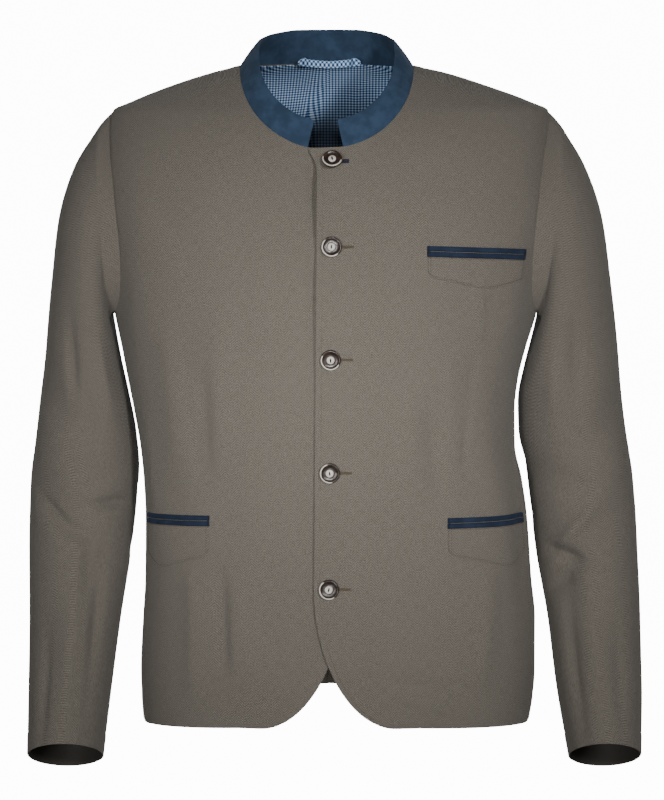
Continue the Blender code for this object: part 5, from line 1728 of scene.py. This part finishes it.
def sleeve_lining():
    return material_once("sleeve_inside", plain_inside, list(scene_sizes().inside))


def front_line(angle, z, lift):
    """A line of thread on the over front."""
    return lifted(angle, z, np.full(np.broadcast(angle, z).shape, lift))


def level_line(z, x_start, x_end):
    """A level line of thread beside a buttonhole."""
    x = np.linspace(x_start, x_end, 12)
    return front_line(angle_at(x, z), np.full(12, z), THREAD_LIFT)


class JACKET_OT_fronts(bpy.types.Operator):
    """Make both fronts, the left one lapped over the right one"""
    bl_idname = "jacket.fronts"
    bl_label = "Fronts"

    def execute(self, context):
        make_panels("front", front_row, "rt")
        return {"FINISHED"}


class JACKET_OT_backs(bpy.types.Operator):
    """Make both backs, joined at the middle seam"""
    bl_idname = "jacket.backs"
    bl_label = "Backs"

    def execute(self, context):
        make_panels("back", back_row, "lrt")
        return {"FINISHED"}


class JACKET_OT_sleeves(bpy.types.Operator):
    """Make both two-piece sleeves"""
    bl_idname = "jacket.sleeves"
    bl_label = "Sleeves"

    def execute(self, context):
        full = 2 * ARM_STEPS
        for side, label in SIDES:
            for part, start, end in (("top", BACK_SLEEVE_SEAM, full + FRONT_SLEEVE_SEAM),
                                     ("under", FRONT_SLEEVE_SEAM, BACK_SLEEVE_SEAM)):
                name = "cloth_sleeve_%s_%s" % (label, part)
                piece = make_sleeve_piece(name, side, start, end, [main_cloth(), sleeve_lining()])
                settle(piece, "cloth", "sleeve_%s_%s" % (label, part))
        return {"FINISHED"}


class JACKET_OT_collar(bpy.types.Operator):
    """Make the stand collar of blue suede-like cloth"""
    bl_idname = "jacket.collar"
    bl_label = "Collar"

    def execute(self, context):
        blue = material_once("blue_collar_cloth", brushed_blue, list(context.scene.jacket_trim.collar))
        settle(make_collar([blue]), "trim_blue", "collar")
        return {"FINISHED"}


class JACKET_OT_lining(bpy.types.Operator):
    """Make the checked lining of the upper back and its hanger loop"""
    bl_idname = "jacket.lining"
    bl_label = "Lining"

    def execute(self, context):
        checks = material_once("checked_cotton", gingham, context.scene.jacket_lining)
        settle(make_lining([checks]), "gingham", "lining_back")
        settle(make_loop([checks]), "gingham", "hanger_loop")
        return {"FINISHED"}


class JACKET_OT_pockets(bpy.types.Operator):
    """Make the pipings and flap of every pocket"""
    bl_idname = "jacket.pockets"
    bl_label = "Pockets"

    def execute(self, context):
        blue = material_once("blue_piping_cloth", brushed_blue, list(context.scene.jacket_trim.piping), 0.08)
        for pocket in POCKETS:
            for k, place in enumerate(("upper", "lower")):
                top = k * (PIPING_HEIGHT + PIPING_SLIT)
                piping = make_piping("band_%s_%s" % (pocket.name, place), pocket, top, [blue])
                settle(piping, "trim_blue", "%s_piping_%s" % (pocket.name, place))
            flap = make_flap("cloth_flap_" + pocket.name, pocket, [main_cloth()])
            settle(flap, "cloth", pocket.name + "_flap")
        return {"FINISHED"}


class JACKET_OT_buttons(bpy.types.Operator):
    """Turn the five buttons"""
    bl_idname = "jacket.buttons"
    bl_label = "Buttons"

    def execute(self, context):
        horn = material_once("polished_dark_horn", polished_horn, context.scene.jacket_buttons)
        slot = material_once("dark_button_thread", twisted_thread, list(colour_of((8, 6, 6))))
        for number, height in enumerate(BUTTON_HEIGHTS, 1):
            settle(make_button(number, height, [horn, slot]), "button", "button_%d" % number)
        return {"FINISHED"}


class JACKET_OT_sewing(bpy.types.Operator):
    """Sew the front edge, the pockets and the buttonholes"""
    bl_idname = "jacket.sewing"
    bl_label = "Sewing"

    def execute(self, context):
        sizes = context.scene.jacket_sewing
        tree, stitch = sewing_tree(), stitch_shape("one_stitch")
        threads = {name: material_once(name, twisted_thread, list(getattr(sizes, name)))
                   for name in ("edge_thread", "flap_thread", "pocket_thread", "tack_thread", "hole_thread",
                                "top_hole_thread")}

        plain = Stitch(sizes.spacing, sizes.length, sizes.thickness, 0.0)

        def run(name, lines, thread, kind=plain):
            settle(sew(name, lines, stitch, tree, threads[thread], *kind), "cloth")

        heights = np.linspace(NECK_FRONT_Z - 0.006, HEM_FRONT_Z + 0.010, 260)
        line_x = closing_x(heights) + EDGE_SEWING - edge_past_centre(heights)
        edge = front_line(angle_at(line_x, heights), heights, 0.00012)
        run("sewing_front_edge", [edge], "edge_thread")

        flaps, slits, tacks = [], [], []
        for pocket in POCKETS:
            part = np.linspace(0.006, 0.992, 70)
            angle, z = pocket_places(pocket, part, FLAP_START + flap_drop(pocket, part) - 0.0016, FLAP_INSET)
            flaps.append(front_line(angle, z, TRIM_GAP + 0.0010))
            for end in (0.020, 0.980):
                drop = np.linspace(0.002, 0.92, 24) * flap_drop(pocket, np.array(end))
                angle, z = pocket_places(pocket, np.full(24, end), FLAP_START + drop, FLAP_INSET)
                flaps.append(front_line(angle, z, TRIM_GAP + 0.0010))
            angle, z = pocket_places(pocket, part, np.full(70, FLAP_START + 0.0009), FLAP_INSET)
            slits.append(front_line(angle, z, TRIM_GAP + 0.0009))
            for end in (0.010, 0.990):
                drop = np.linspace(0.0006, 2.0 * PIPING_HEIGHT, 16)
                angle, z = pocket_places(pocket, np.full(16, end), drop)
                tacks.append(front_line(angle, z, TRIM_GAP + PIPING_WALL + 0.0002))
        run("sewing_round_flaps", flaps, "flap_thread")
        run("sewing_below_pipings", slits, "pocket_thread")
        run("sewing_pocket_ends", tacks, "tack_thread", TACK_STITCH)

        low, high = [], []
        for number, height in enumerate(BUTTON_HEIGHTS, 1):
            reach, half, lines = (TOP_HOLE_END, TOP_HOLE_HALF, high) if number == 1 else (HOLE_END, HOLE_HALF, low)
            middle = closing_x(height) + BUTTON_X
            for rise in (-half, half):
                lines.append(level_line(height + rise, middle + HOLE_START, middle + reach))
        run("sewing_buttonholes", low, "hole_thread", HOLE_STITCH)
        run("sewing_top_buttonhole", high, "top_hole_thread", TOP_HOLE_STITCH)
        bpy.data.objects.remove(stitch)
        return {"FINISHED"}


class JACKET_OT_cuts(bpy.types.Operator):
    """State how each sheet of cloth was cut"""
    bl_idname = "jacket.cuts"
    bl_label = "Cuts"

    def execute(self, context):
        for name, (width, length, area) in CUTS.items():
            print("cut %s %.3f x %.3f m, %.4f m2" % (name, width, length, area))
        return {"FINISHED"}


class JACKET_OT_stage(bpy.types.Operator):
    """Make the pale sweep, the soft lights and the camera"""
    bl_idname = "jacket.stage"
    bl_label = "Stage"

    def execute(self, context):
        sizes = context.scene.jacket_stage
        floor_z, front_y, back_y, top_z, bend, half_width = -1.30, -12.0, 7.5, 9.0, 2.2, 14.0
        profile = [(front_y, floor_z)]
        profile += [(back_y - bend + bend * np.sin(t), floor_z + bend * (1.0 - np.cos(t)))
                    for t in np.linspace(0.0, np.pi / 2.0, 14)]
        profile += [(back_y, top_z)]
        points = [(x, y, z) for y, z in profile for x in (-half_width, half_width)]
        faces = [(2 * k, 2 * k + 1, 2 * k + 3, 2 * k + 2) for k in range(len(profile) - 1)]
        mesh = bpy.data.meshes.new("paper_sweep")
        mesh.from_pydata(points, [], faces)
        mesh.shade_smooth()
        mesh.materials.append(material_once("studio_paper", plain_surround, list(sizes.paper), sizes.paper_glow))
        sweep = add_object("paper_sweep", mesh)
        sweep.visible_diffuse = sweep.visible_glossy = False
        for name, kind, place, strength, size in (
                ("chest_light", "SPOT", CHEST_LIGHT, sizes.chest, 0.25),
                ("main_light", "AREA", (1.6, -3.7, 0.7), sizes.key, 0.5),
                ("side_light", "AREA", (-1.6, -3.7, -0.6), sizes.fill, 0.9),
                ("back_light", "AREA", (0.4, 4.2, 0.9), sizes.back, 2.6)):
            light = bpy.data.lights.new(name, kind)
            light.energy = strength
            if kind == "SPOT":
                light.shadow_soft_size, light.spot_size, light.spot_blend = size, np.radians(CHEST_CONE), 1.0
            else:
                light.size = size
            lamp = add_object(name, light)
            lamp.location = place
            way = Vector((0.0, 0.0, LIGHT_AIM_Z)) - Vector(place)
            lamp.rotation_euler = way.to_track_quat("-Z", "Y").to_euler()
        world = bpy.data.worlds.new("even_light")
        world.use_nodes = True
        even = world.node_tree.nodes["Background"].inputs
        even["Color"].default_value = (1.0, 1.0, 1.0, 1.0)
        even["Strength"].default_value = sizes.surround_light
        context.scene.world = world
        camera = bpy.data.cameras.new("front_camera")
        camera.sensor_fit, camera.sensor_height = "VERTICAL", CAMERA_SENSOR
        camera.lens, camera.shift_x = CAMERA_LENS, CAMERA_SHIFT_X
        eye = add_object("front_camera", camera)
        tilt = np.radians(CAMERA_TILT)
        eye.location = (0.0, -CAMERA_DISTANCE * np.cos(tilt), CAMERA_AIM_Z + CAMERA_DISTANCE * np.sin(tilt))
        eye.rotation_euler = (np.pi / 2.0 - tilt, 0.0, 0.0)
        context.scene.camera = eye
        return {"FINISHED"}


STEPS = (JACKET_OT_fronts, JACKET_OT_backs, JACKET_OT_sleeves, JACKET_OT_collar, JACKET_OT_lining,
         JACKET_OT_pockets, JACKET_OT_buttons, JACKET_OT_sewing, JACKET_OT_cuts, JACKET_OT_stage)
GROUPS = (("jacket_cloth", JacketCloth), ("jacket_trim", JacketTrim), ("jacket_lining", JacketLining),
          ("jacket_buttons", JacketButtons), ("jacket_sewing", JacketSewing), ("jacket_stage", JacketStage))


class JACKET_PT_panel(bpy.types.Panel):
    """Sizes, colours and steps of the jacket"""
    bl_idname = "JACKET_PT_panel"
    bl_label = "Trachten Jacket"
    bl_space_type = "VIEW_3D"
    bl_region_type = "UI"
    bl_category = "Jacket"

    def draw(self, context):
        for label, group in GROUPS:
            box = self.layout.box()
            box.label(text=group.__doc__)
            for value in group.__annotations__:
                box.prop(getattr(context.scene, label), value)
        for step in STEPS:
            self.layout.operator(step.bl_idname)


def register():
    for label, group in GROUPS:
        bpy.utils.register_class(group)
        setattr(bpy.types.Scene, label, bpy.props.PointerProperty(type=group))
    for step in STEPS:
        bpy.utils.register_class(step)
    bpy.utils.register_class(JACKET_PT_panel)


def unregister():
    bpy.utils.unregister_class(JACKET_PT_panel)
    for step in reversed(STEPS):
        bpy.utils.unregister_class(step)
    for label, group in reversed(GROUPS):
        delattr(bpy.types.Scene, label)
        bpy.utils.unregister_class(group)


def main():
    """Makes the whole jacket, step by step."""
    register()
    bpy.ops.jacket.fronts()
    bpy.ops.jacket.backs()
    bpy.ops.jacket.sleeves()
    bpy.ops.jacket.collar()
    bpy.ops.jacket.lining()
    bpy.ops.jacket.pockets()
    bpy.ops.jacket.buttons()
    bpy.ops.jacket.sewing()
    bpy.ops.jacket.cuts()
    bpy.ops.jacket.stage()


if __name__ == "__main__":
    main()
